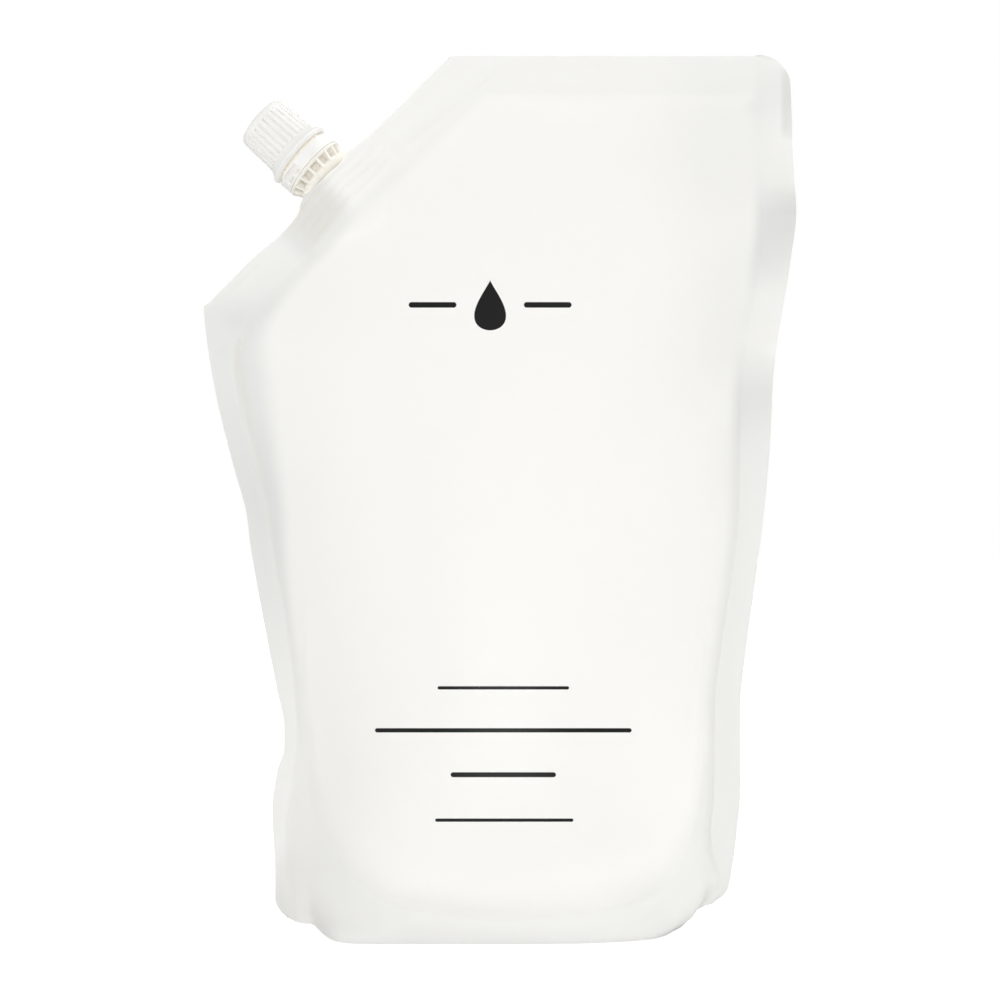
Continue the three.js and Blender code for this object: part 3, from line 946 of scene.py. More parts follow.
    # Share of those plans in the shape of the walls, by height.
    base_blend: Curve = field(default_factory=lambda: Curve(
        (0, 1.0), (12, 0.86), (32, 0.45), (58, 0.14), (95, 0.0),
    ))
    dents: tuple[Dent, ...] = (
        Dent(76, 190, 12, 9, 1.0, 20),
        Dent(84, 177, 8, 10, -0.8),
        Dent(40, 225, 26, 12, 0.7, 30),
        Dent(-30, 178, 30, 16, -0.6, 45),
        Dent(20, 120, 40, 24, 0.5, 80),
        Dent(-60, 40, 6, 14, 0.8, 25),
        Dent(-20, 150, 34, 22, 0.9, 65, Side.BACK),
        Dent(38, 190, 22, 13, 1.0, -35, Side.BACK),
        Dent(78, 150, 6, 14, 1.8, 5, Side.BACK),
        Dent(-76, 140, 5, 16, 1.6, -10, Side.BACK),
        Dent(62, 205, 14, 8, 1.4, 35, Side.BACK),
        Dent(10, 84, 30, 18, 0.7, 10, Side.BACK),
    )
    creases: tuple[Crease, ...] = (
        Crease((12.0, 245.0), (40.0, 245.0), 0.45, 3.0),
        Crease((70.0, 138.0), (84.0, 168.0), -0.5, 1.6, Side.BACK),
        Crease((-84.0, 160.0), (-70.0, 176.0), -0.6, 1.5, Side.BACK),
    )
    folds: tuple[Crease, ...] = (
        Crease((-85.7, 168.4), (-79.6, 174.5), 0.6, 1.0),
        Crease((-72.7, 197.0), (-81.5, 188.0), 0.35, 0.9),
        Crease((-69.6, 187.5), (-73.2, 182.5), 0.5, 1.0),
        Crease((-0.9, 257.5), (-10.6, 248.7), -0.5, 1.2),
        Crease((-10.6, 248.7), (-28.9, 234.7), -0.7, 1.4),
        Crease((62.4, 1.0), (62.6, 21.0), -1.0, 1.1),
        Crease((-61.0, 0.0), (-62.6, 12.0), -0.4, 1.2),
        Crease((73.5, 243.0), (78.0, 245.5), -0.7, 1.6),
    )
    # Painted shade: places painted darker than the rest, with their share of the seal colour for a depth.
    shade_patches: tuple[Dent, ...] = (
        Dent(66.0, 238.0, 20.0, 22.0, 0.28),
        Dent(76.0, 245.0, 2.5, 2.0, 0.2),
        Dent(-80.0, 180.0, 5.0, 3.0, 0.15),
        Dent(70.0, 185.0, 18.0, 50.0, 0.2),
        Dent(-64.0, 140.0, 16.0, 60.0, 0.14),
        Dent(48.0, 14.0, 14.0, 12.0, 0.22),
    )
    # How dark the side seals look, by height: their seal colour with painted shade where they bend away, and
    # how far the left one's painted shade fades in onto the body.
    left_seal_and_shade: Curve = field(default_factory=lambda: Curve(
        (0, 0.04), (22, 0.14), (40, 0.22), (64, 0.3), (89, 0.54), (107, 0.68), (128, 0.8), (150, 0.7),
        (165, 0.66), (181, 0.68), (190, 0.44), (200, 0.34), (215, 0.2),
    ))
    left_fade: Curve = field(default_factory=lambda: Curve(
        (0, 5), (64, 4), (89, 4), (107, 6), (134, 10), (166, 13), (178, 10), (200, 8),
    ))
    right_seal_and_shade: Curve = field(default_factory=lambda: Curve(
        (0, 0.4), (64, 0.42), (107, 0.46), (131, 0.52), (143, 0.56), (150, 0.68), (156, 0.75), (162, 0.54),
        (168, 0.32), (174, 0.05), (180, 0.14), (186, 0.24), (192, 0.46), (198, 0.7), (204, 0.85), (210, 0.95),
        (216, 0.65), (222, 0.3), (232, 0.14), (241, 0.3), (247, 0.42), (260, 0.3),
    ))
    # How deep the groove along the left seal is, by height.
    left_groove: Curve = field(default_factory=lambda: Curve(
        (60, 0.0), (100, 0.4), (132, 0.7), (150, 1.0), (168, 1.2), (176, 0.8), (184, 0.0),
    ))
    seat: SpoutSeat = field(default_factory=SpoutSeat)

    def heights(self) -> Array:
        """Gives the heights of the rows of the walls: finer at the base, the top seal and the round corner.

        Returns:
            The heights, from the floor up.
        """
        seal = self.height - self.top_seal
        arc = self.height - self.corner_radius
        rows = [
            np.linspace(0.0, 8.0, 9)[:-1],
            np.linspace(8.0, 60.0, 48)[:-1],
            np.linspace(60.0, seal, 140)[:-1],
            np.linspace(seal, arc, 5)[:-1],
            arc + self.corner_radius * np.sin(np.linspace(0.0, math.pi / 2, 12)),
        ]
        return np.concatenate(rows)

    def cut_edge(self, z: Array) -> Array:
        """Gives the slanted edge of the cut corner, drawn in beside the boat's lower end.

        Args:
            z: Heights on the pack.

        Returns:
            Places across the pack.
        """
        straight = z - (self.height - self.corner_cut) - self.half_width
        from_seat = (z - self.seat.height) * math.sqrt(2)
        return straight - self.cut_shift(from_seat) * math.sqrt(2)

    def left_edge(self, z: Array) -> Array:
        """Gives the left edge of the film at some heights."""
        corner = self.height - self.corner_cut
        return np.where(z > corner, np.maximum(self.cut_edge(z), self.left(z)), self.left(z))

    def right_edge(self, z: Array) -> Array:
        """Gives the right edge of the film, with its rounded upper corner.

        Args:
            z: Heights on the pack.

        Returns:
            Places across the pack.
        """
        above = np.maximum(0.0, z - (self.height - self.corner_radius))
        reach = np.sqrt(np.maximum(0.0, self.corner_radius**2 - above**2))
        return self.right(z) - self.corner_radius + reach

    def filled(self, z: Array) -> tuple[Array, Array]:
        """Gives where the contents start and end at some heights.

        Args:
            z: Heights on the pack.

        Returns:
            The left and the right inner line of the seals.
        """
        slant = z - (self.height - self.corner_cut) - self.half_width + self.cut_seal * math.sqrt(2)
        start = smooth_max(self.left_inner(z), slant, self.inner_corner)
        end = np.minimum(self.right(z) - self.right_seal(z), self.right_edge(z) - 1.5)
        return start, end

    def half_depth(self, x: Array, z: Array, side: Side) -> Array:
        """Gives how far one wall stands out from the plane of the side seals.

        Args:
            x: Places across the pack.
            z: Heights on the pack.
            side: Front or back.

        Returns:
            The distances.
        """
        start, end = self.filled(z)
        middle, reach = (start + end) / 2, (end - start) / 2
        across = np.clip((x - middle) / reach, -1.0, 1.0)
        round_share = 1 - np.abs(across) ** self.body_squareness
        base = self.base_blend(z)
        foot = self.foot_blend(z)
        plan = foot * self.foot_plan(across) + (1 - foot) * self.base_plan(across)
        share = base * plan + (1 - base) * round_share
        depth_curve = self.front_depth if side is Side.FRONT else self.back_depth
        depth = self.seal_half + depth_curve(z) * share
        above_line = self.above_seal_line(x, z)
        # The base's seal pulls a groove into the filled wall, with a soft ridge above it.
        loose = smooth_step(depth, self.seal_half + 0.5, 8.0)
        depth = depth - loose * self.seal_groove * np.exp(-((above_line / self.seal_groove_width) ** 2))
        above_ridge = (above_line - self.seal_ridge_above) / self.seal_ridge_width
        depth = depth + loose * self.seal_ridge * np.exp(-(above_ridge**2))
        # Dents show only where the wall stands clear of its seals.
        slack = smooth_step(depth, self.seal_half, 2.5)
        for dent in self.dents:
            if dent.side is side:
                depth = depth - dent.at(x, z) * slack
        for crease in self.creases:
            if crease.side is side:
                depth = depth + crease.at(x, z)
        depth = np.maximum(depth, self.seal_half)
        return smooth_max(self.seat.bulge(x, z), depth, 1.6)

    def above_seal_line(self, x: Array, z: Array) -> Array:
        """Gives how far points of the walls lie above the curved seal line of the base, square to that line.

        Args:
            x: Places across the pack.
            z: Heights on the pack.

        Returns:
            The distances, below 0 in the skirt.
        """
        low, high = np.clip(x - 0.5, *self.seal_line_ends), np.clip(x + 0.5, *self.seal_line_ends)
        before, after = self.seal_line(low), self.seal_line(high)
        return (z - (before + after) / 2) / np.hypot(1.0, after - before)

    def sway(self, x: Array, z: Array) -> Array:
        """Gives how far the seals wave out of their plane.

        Args:
            x: Places across the pack.
            z: Heights on the pack.

        Returns:
            How far both walls move back together.
        """
        start, end = self.filled(z)
        left_width = np.maximum(start - self.left_edge(z), 1.0)
        right_width = np.maximum(self.right_edge(z) - end, 1.0)
        back = self.left_flap(z) * past(start - x, 1.5) / left_width
        back = back + self.right_flap(z) * past(x - end, 1.2) / right_width
        back = back + self.left_groove(z) * np.exp(-(((x - start) / 1.3) ** 2))
        back = back - self.left_foot(x) * (1 - smooth_step(z, 2.0, 26.0))
        back = back - 0.45 * past(x - 85.4, 0.5) * self.corner_strip(z)
        for fold in self.folds:
            back = back - fold.at(x, z)
        return back

    def corner_strip(self, z: Array) -> Array:
        """Gives the share, at some heights, of the strip that bends forward along the upper right corner."""
        return smooth_step(z, 234.0, 238.0) * (1 - smooth_step(z, 253.0, 257.0))

    def seal_and_painted_shade(self, x: Array, z: Array) -> Array:
        """Gives how dark the film looks, from its seal colour and painted shade: 0 on the free film, 1 in the
        darkest seal.

        Args:
            x: Places across the pack.
            z: Heights on the pack.

        Returns:
            The share at each point.
        """
        start, end = self.filled(z)
        above_line = self.above_seal_line(x, z)
        # Seal colour in the side, top and base seals, with painted shade where the side seals bend and where
        # the left one's shade reaches onto the body.
        seal_and_painted_shade = np.maximum.reduce([
            self.left_seal_and_shade(z) * smooth_step(x - start, self.left_fade(z), 0.35 * self.left_fade(z) - 1.0),
            self.right_seal_and_shade(z) * smooth_step(x - end, -5.0, 0.5),
            0.2 * smooth_step(z - (self.height - self.top_seal), -1.0, 1.5),
            0.32 * smooth_step(above_line, 1.6, -1.0) * (1 - 0.6 * smooth_step(-x, 44.0, 58.0)),
        ])
        # Painted shade on the strip that bends forward along the upper right corner.
        seal_and_painted_shade = seal_and_painted_shade + 0.45 * smooth_step(x, 84.8, 86.5) * self.corner_strip(z)
        # Painted shade at each patch.
        for patch in self.shade_patches:
            seal_and_painted_shade = seal_and_painted_shade + patch.at(x, z)
        # Over the boat the film is lighter, apart from the boat's lower half, which looks shaded.
        along, out = self.seat.local(x, z)
        on_weld = (1 - smooth_step(np.abs(along), 17.0, 21.0)) * smooth_step(out, -15.0, -11.0)
        shaded = smooth_step(along, -26.0, -15.0) * smooth_step(along, 2.0, -6.0)
        shaded = shaded * smooth_step(out, -17.0, -8.0)
        return np.clip(seal_and_painted_shade * (1 - 0.9 * on_weld) + 0.95 * shaded, 0.0, 1.0)

    def painted_fold_share(self, x: Array, z: Array) -> Array:
        """Gives where the film is painted darker and warmer, as painted shade: in tight folds, in the weld's
        grooves, and over the boat's lower half.

        Args:
            x: Places across the pack.
            z: Heights on the pack.

        Returns:
            The share at each point.
        """
        start, _ = self.filled(z)
        groove = 0.2 * self.left_groove(z) * np.exp(-(((x - start) / 1.5) ** 2))
        along, out = self.seat.local(x, z)
        over_boat = (1 - smooth_step(np.abs(along), 16.0, 22.0)) * smooth_step(out, -16.0, -9.5)
        lower_half = 1 - smooth_step(along, -6.0, 2.0)
        lines = sum(np.exp(-(((out - low) / 0.6) ** 2)) for low in self.seat.grooves)
        warm = 0.14 * lower_half + (0.04 + 0.4 * lower_half) * lines
        return np.clip(groove + over_boat * warm, 0.0, 1.0)

    def across_at(self, s: Array, z: Array) -> Array:
        """Places the columns of the walls: some in each side seal, and the rest over the contents.

        Args:
            s: Share of the columns, from 0 at the left edge to 1 at the right.
            z: Heights on the pack.

        Returns:
            Places across the pack.
        """
        left_count, middle_count, right_count = self.columns
        total = left_count + middle_count + right_count
        start, end = self.filled(z)
        position = s * total
        on_left = self.left_edge(z) + (start - self.left_edge(z)) * position / left_count
        inner = (position - left_count) / middle_count
        on_body = start + (end - start) * inner
        outer = (position - left_count - middle_count) / right_count
        on_right = end + (self.right_edge(z) - end) * outer
        return np.where(position <= left_count, on_left, np.where(inner <= 1.0, on_body, on_right))

    def lifted(self, x: Array, z: Array) -> Array:
        """Lifts the base's lower edge at the right foot.

        Args:
            x: Places across the pack.
            z: Heights before the lift.

        Returns:
            The heights after it.
        """
        return z + self.right_foot_lift * smooth_step(x, 56.0, 66.0) * (1 - smooth_step(z, 0.0, 22.0))

    def inner_face(self, x: Array, z: Array, side: Side) -> Array:
        """Gives how far the inner face of one wall stands out, where the base's film lies against it."""
        return np.maximum(self.half_depth(x, z, side) - self.film, 0.02)

    def blank(self) -> bpy.types.Object:
        """Makes the flat blank: a fine grid, extruded to two walls, cut finer at the weld and under the base.

        Returns:
            The blank, with the share across in X, the share up in Y, and the side in Z.
        """
        start_afresh()
        rows = len(self.heights()) - 1
        bpy.ops.mesh.primitive_grid_add(x_subdivisions=sum(self.columns), y_subdivisions=rows, size=1.0)
        obj = bpy.context.object
        obj.name = obj.data.name = self.name
        edit(obj, "FACE")
        bpy.ops.mesh.select_all(action="SELECT")
        bpy.ops.transform.translate(value=(0.5, 0.5, -1.0))
        bpy.ops.mesh.extrude_region_move(TRANSFORM_OT_translate={"value": (0.0, 0.0, 2.0)})
        bpy.ops.mesh.select_all(action="DESELECT")
        pick_faces(obj, self.in_weld)
        bpy.ops.mesh.subdivide(number_cuts=self.weld_cuts)
        edit(obj, "EDGE")
        leave_edit()
        flat = obj.data.vertices
        for edge in obj.data.edges:
            a, b = (flat[i].co for i in edge.vertices)
            edge.select = abs(a.z - b.z) > 1.0 and a.y < 1e-6 and b.y < 1e-6
        bpy.ops.object.mode_set(mode="EDIT")
        bpy.ops.mesh.subdivide_edgering(number_cuts=self.gusset_rows, interpolation="LINEAR", smoothness=0.0)
        leave_edit()
        return obj

    def in_weld(self, centres: Array, normals: Array) -> Array:
        """Says which faces of the blank lie where the film is welded to the boat.

        Args:
            centres: Centres of the faces, one row each.
            normals: Normals of the faces, one row each.

        Returns:
            True for each face that does.
        """
        rows = self.heights()
        z = np.interp(centres[:, 1] * (len(rows) - 1), np.arange(len(rows)), rows)
        along, out = self.seat.local(self.across_at(centres[:, 0], z), z)
        near = np.abs(along) < self.seat.weld_half_length
        return near & (out > self.seat.weld_low) & (out < self.seat.weld_high) & (np.abs(normals[:, 2]) > 0.5)

    def shape(self, obj: bpy.types.Object) -> None:
        """Moves the blank's vertices to the filled pack, and notes its seal colour and painted shade.

        Args:
            obj: The blank.
        """
        s, t, side = vertex_places(obj).T
        rows = self.heights()
        z = np.interp(t * (len(rows) - 1), np.arange(len(rows)), rows)
        x = self.across_at(np.clip(s, 0.0, 1.0), z)
        front, back = self.half_depth(x, z, Side.FRONT), self.half_depth(x, z, Side.BACK)
        sway = self.sway(x, z)
        y = np.where(side < 0.0, -front, back) + sway
        # What bends back is spread a little, so that its outline stays the same from the camera.
        as_seen = 1 + sway / CAMERA_DISTANCE
        height = self.lifted(x, z)
        under = (np.abs(side) < 0.999) & (t < 1e-6)
        y[under], height[under] = self.hanging_film(x[under], side[under])
        # Seal colour with painted shade, and warm painted shade in folds, at each vertex.
        seal_and_painted_shade, painted_fold_shade = self.seal_and_painted_shade(x, z), self.painted_fold_share(x, z)
        seal_and_painted_shade[under], painted_fold_shade[under] = self.gusset_tone, 0.0
        note(obj, "seal_and_painted_shade", lambda _: seal_and_painted_shade)
        note(obj, "fold", lambda _: painted_fold_shade)
        placed_at = np.column_stack([x * as_seen, y, height]) * MM
        obj.data.vertices.foreach_set("co", placed_at.ravel())
        obj.data.update()

    def hanging_film(self, x: Array, share: Array) -> tuple[Array, Array]:
        """Places the gusset film of the base: up inside the skirt, and hanging between the seal lines.

        Args:
            x: Places across the pack.
            share: Share from the front rim, -1, to the back rim, 1.

        Returns:
            The places in depth, and the heights.
        """
        zero = np.zeros_like(x)
        front_rim, back_rim = self.inner_face(x, zero, Side.FRONT), self.inner_face(x, zero, Side.BACK)
        open_share = smooth_step(np.minimum(front_rim, back_rim), 0.0, 4.0)
        line = self.seal_line(np.clip(x, *self.seal_line_ends)) * open_share
        # Near the rims the film is welded to the walls, up to the seal line.
        wall_height = line * np.clip((1 - np.abs(share)) / (1 - self.gusset_wall), 0.0, 1.0)
        wall_side = np.where(
            share < 0,
            -np.minimum(front_rim, self.inner_face(x, wall_height, Side.FRONT)),
            np.minimum(back_rim, self.inner_face(x, wall_height, Side.BACK)),
        )
        # Between the seal lines it hangs, with its fold standing up in the middle.
        p = np.clip(share / self.gusset_wall, -1.0, 1.0)
        front_high = np.minimum(front_rim, self.inner_face(x, line, Side.FRONT))
        back_high = np.minimum(back_rim, self.inner_face(x, line, Side.BACK))
        hang_share = np.clip(np.abs(x) / self.gusset_reach, 0.0, 1.0) ** 10
        hang = np.minimum(line, self.gusset_clearance + (line - self.gusset_clearance) * hang_share)
        hang = hang * open_share
        fold = 0.8 * np.exp(-((p / 0.06) ** 2)) * open_share
        film_height = hang + (line - hang) * np.abs(p) ** 3 + fold
        film_side = np.where(p < 0, front_high, back_high) * p
        on_wall = np.abs(share) > self.gusset_wall
        height = np.where(on_wall, wall_height, film_height)
        side = np.where(on_wall, wall_side, film_side)
        return side + self.sway(x, height), self.lifted(x, height)

    def build(self) -> bpy.types.Object:
        """Makes the film pouch.

        Returns:
            The finished piece.
        """
        obj = self.blank()
        self.shape(obj)
        edit(obj)
        bpy.ops.mesh.select_all(action="SELECT")
        bpy.ops.mesh.normals_make_consistent(inside=False)
        leave_edit()
        smooth(obj, 50.0)
        return finished(obj, FilmFinish().make(), "root", "pouch")


# The closure


@dataclass
class ClosureSizes:
    """Sizes that the spout, the ring and the cap share, all from the film's edge out along the axis."""

    bore: float = 4.3
    neck: float = 5.4
    core: float = 7.2
    collar: float = 6.9
    bead: float = 8.0
    web_foot: float = 8.5
    flange: float = 10.35
    plate_top: float = 2.4
    flange_low: float = 4.25
    flange_top: float = 5.25
    ring_low: float = 5.3
    ring_top: float = 9.15
    cap_low: float = 10.05
    cap_top: float = 26.8
    cap_ceiling: float = 25.7
    neck_top: float = 25.5
    cap_bore: float = 6.4
    flare: float = 10.95
    thread_pitch: float = 3.0
    thread_turns: float = 1.5
    thread_depth: float = 0.7
    thread_overlap: float = 0.3
    thread_root_half: float = 0.85
    thread_crest_half: float = 0.35
    thread_steps: int = 54
    cap_thread_low: float = 13.7


def thread(name: str, wall: float, outward: float, low: float, sizes: ClosureSizes) -> bpy.types.Object:
    """Makes one helical ridge from a four-sided section, swept by a Screw modifier.

    Args:
        name: Name of the new piece.
        wall: Radius of the wall that carries it, in millimetres.
        outward: 1 for a ridge outside the wall, -1 for one inside it.
        low: Height of its start.
        sizes: The closure's sizes.

    Returns:
        The closed ridge.
    """
    start_afresh()
    bpy.ops.mesh.primitive_plane_add(size=1.0, rotation=(math.pi / 2, 0, 0))
    obj = bpy.context.object
    obj.name = obj.data.name = name
    bpy.ops.object.transform_apply(location=True, rotation=True, scale=True)
    root = (wall - outward * sizes.thread_overlap, sizes.thread_root_half)
    crest = (wall + outward * sizes.thread_depth, sizes.thread_crest_half)
    for vertex in obj.data.vertices:
        radius, half_height = crest if vertex.co.x > 0 else root
        height = half_height if vertex.co.z > 0 else -half_height
        vertex.co = Vector((radius * MM, 0.0, (low + height) * MM))
    edit(obj, "FACE")
    bpy.ops.mesh.select_all(action="SELECT")
    bpy.ops.mesh.delete(type="ONLY_FACE")
    leave_edit()
    with_modifier(
        obj, "SCREW", axis="Z", angle=2 * math.pi * sizes.thread_turns,
        screw_offset=sizes.thread_pitch * sizes.thread_turns * MM, steps=sizes.thread_steps,
        render_steps=sizes.thread_steps, use_merge_vertices=False, iterations=1,
    )
    edit(obj, "EDGE")
    bpy.ops.mesh.select_non_manifold()
    bpy.ops.mesh.edge_face_add()
    edit(obj, "EDGE")
    bpy.ops.mesh.select_non_manifold()
    bpy.ops.mesh.fill_holes(sides=4)
    bpy.ops.mesh.select_all(action="SELECT")
    bpy.ops.mesh.normals_make_consistent(inside=False)
    leave_edit()
    return obj


def boat(name: str, half_length: float, half_width: float, low: float, high: float) -> bpy.types.Object:
    """Makes a boat-shaped block as the common part of two round blocks.

    Args:
        name: Name of the new piece.
        half_length: Half its length, in millimetres.
        half_width: Half its width.
        low: Height of its lower face.
        high: Height of its upper face.

    Returns:
        The block, with its length along X.
    """
    radius = (half_length**2 + half_width**2) / (2 * half_width)
    halves = []
    for way in (-1.0, 1.0):
        start_afresh()
        bpy.ops.mesh.primitive_cylinder_add(
            vertices=BOAT_SIDES, radius=radius * MM, depth=(high - low) * MM,
            location=(0.0, way * (radius - half_width) * MM, (low + high) / 2 * MM),
        )
        halves.append(bpy.context.object)
        bpy.ops.object.transform_apply(location=True, rotation=True, scale=True)
    block, other = halves
    block.name = block.data.name = name
    return combined(block, [other], "INTERSECT")


@dataclass
class Spout:
    """The welded spout: ribbed boat, plate, webs, flange, collar, neck and its thread."""

    sizes: ClosureSizes
    finish: MouldedFinish
    name: str = "spout_moulding"
    webs: int = 16
    web_width: float = 0.85
    boat_half_length: float = 16.8
    top_rib_half_length: float = 13.0
    boat_half_width: float = 3.9
    boat_ribs: int = 5
    rib_pitch: float = 2.85
    rib_height: float = 1.3
    core_inset: float = 0.5
    plate_low: float = -0.3
    plate_edge_top: float = 1.1
    plate_overhang: float = 1.5
    plate_taper: tuple[float, float, float] = (0.9, 0.66, 1.0)
    crown_low: float = 1.0
    crown_overhang: float = 0.6
    crown_inset: float = 0.4
    bore_top: float = 3.0
    bore_ease: float = 0.02
    # Painted glow on the neck under the cap, in the windows, and under the plate.
    neck_glow: float = 0.2
    window_glow: float = 0.03
    foot_glow: float = 0.12

    @property
    def foot(self) -> float:
        """Height of the boat's lower face."""
        return -(self.boat_ribs - 1) * self.rib_pitch - self.rib_height

    def stem(self) -> bpy.types.Object:
        """Turns the round part: from the boat's foot up the outside to the mouth, and down the bore.

        Returns:
            The closed round part.
        """
        s = self.sizes
        low = self.foot
        outer = [
            (5.6, low), (5.6, 0.0), (6.3, 0.35), (s.core, 0.8), (s.core, s.flange_low),
            (s.flange - 0.15, s.flange_low), (s.flange, s.flange_low + 0.15), (s.flange, s.flange_top - 0.2),
            (s.flange - 0.2, s.flange_top), (s.collar, s.flange_top), (s.collar, 7.35), (s.bead, 7.35),
            (s.bead, 8.05), (7.6, 8.6), (s.neck + 0.35, 10.4), (s.neck, 10.9), (s.neck, s.neck_top - 0.5),
            (s.neck - 0.15, s.neck_top - 0.15), (s.neck - 0.45, s.neck_top), (s.bore, s.neck_top),
        ]
        return turned("stem", (s.bore, low), outer, (), ROUND_SIDES)

    def web(self, i: int) -> bpy.types.Object:
        """Makes one upright web between the plate and the flange.

        Args:
            i: Its number round the spout.

        Returns:
            The web in its place.
        """
        s = self.sizes
        start_afresh()
        bpy.ops.mesh.primitive_cube_add(size=1.0)
        obj = bpy.context.object
        root = s.core - 0.6
        for vertex in obj.data.vertices:
            high = vertex.co.z > 0
            reach = (s.flange - 0.12 if high else s.web_foot) if vertex.co.x > 0 else root
            height = s.flange_low + 0.3 if high else self.crown_low
            vertex.co = Vector((reach, math.copysign(self.web_width / 2, vertex.co.y), height)) * MM
        angle = 2 * math.pi * (i + 0.5) / self.webs
        obj.data.transform(Matrix.Rotation(angle, 4, "Z"))
        return obj

    def build(self, place: Matrix) -> bpy.types.Object:
        """Makes the spout.

        Args:
            place: Where the closure's frame lies in the pack.

        Returns:
            The finished piece.
        """
        s = self.sizes
        half_width, inset = self.boat_half_width, self.core_inset
        core = boat("boat_core", self.boat_half_length - inset, half_width - inset, self.foot, -self.rib_height)
        ribs = []
        for i in range(self.boat_ribs):
            top = -i * self.rib_pitch
            half_length = self.top_rib_half_length if i == 0 else self.boat_half_length
            ribs.append(boat("boat_rib", half_length, half_width, top - self.rib_height, top))
        plate_length = s.web_foot + self.plate_overhang
        plate = boat("plate", plate_length, s.web_foot, self.plate_low, self.plate_edge_top)
        edit(plate, "FACE")
        pick_faces(plate, lambda centres, normals: normals[:, 2] < -0.9)
        bpy.ops.transform.resize(value=self.plate_taper, center_override=(0, 0, 0))
        leave_edit()
        crown_length, crown_width = s.web_foot + self.crown_overhang, s.web_foot - self.crown_inset
        crown = boat("plate_crown", crown_length, crown_width, self.crown_low, s.plate_top)
        rounded(plate, 0.15)
        rounded(crown, 0.5)
        combined(core, [*ribs, plate, crown])
        radius, low, high = s.bore + self.bore_ease, self.foot - 1, self.bore_top
        bore = turned("bore", (radius, low), [(0.0, low)], [(radius, high), (0.0, high)], ROUND_SIDES)
        combined(core, [bore], "DIFFERENCE")
        obj = self.stem()
        obj.name = obj.data.name = self.name
        webs = [rounded(self.web(i), 0.12) for i in range(self.webs)]
        ridge = thread("neck_thread", s.neck, 1.0, s.cap_thread_low + s.thread_pitch / 2, s)
        combined(obj, [core, *webs, ridge])
        smooth(obj)
        # Painted shade in the windows and under the cap, and a painted glow.
        note(obj, "recess_shade", self.recess_shade)
        note(obj, "glow", self.glow)
        placed(obj, place)
        return finished(obj, self.finish.make(), "root", "spout")

    def glow(self, places: Array) -> Array:
        """Says how much painted glow the spout's vertices get: most of it on the neck, under the cap.

        Args:
            places: Places of the vertices, one row each.

        Returns:
            The share at each vertex.
        """
        z = places[:, 2]
        zones = [self.on_neck(z), self.level_with_windows(z), z < self.sizes.plate_top - 0.6]
        return np.select(zones, [self.neck_glow, self.window_glow, self.foot_glow], 0.0)

    def on_neck(self, z: Array) -> Array:
        """Says which heights lie above the flange."""
        return z > self.sizes.flange_top + 0.1

    def level_with_windows(self, z: Array) -> Array:
        """Says which heights lie between the plate and the flange."""
        return (z > self.sizes.plate_top - 0.1) & (z < self.sizes.flange_low + 0.1)

    def recess_shade(self, places: Array) -> Array:
        """Gives the painted shade at the spout's vertices: deeper in the windows between its webs, and under
        the cap.

        Args:
            places: Places of the vertices, one row each.

        Returns:
            The share at each vertex.
        """
        x, y, z = places.T
        s = self.sizes
        inward = 1 - smooth_step(np.hypot(x, y), s.core + 0.3, s.flange - 0.6)
        return np.maximum(self.level_with_windows(z) * inward, INSIDE * self.on_neck(z))


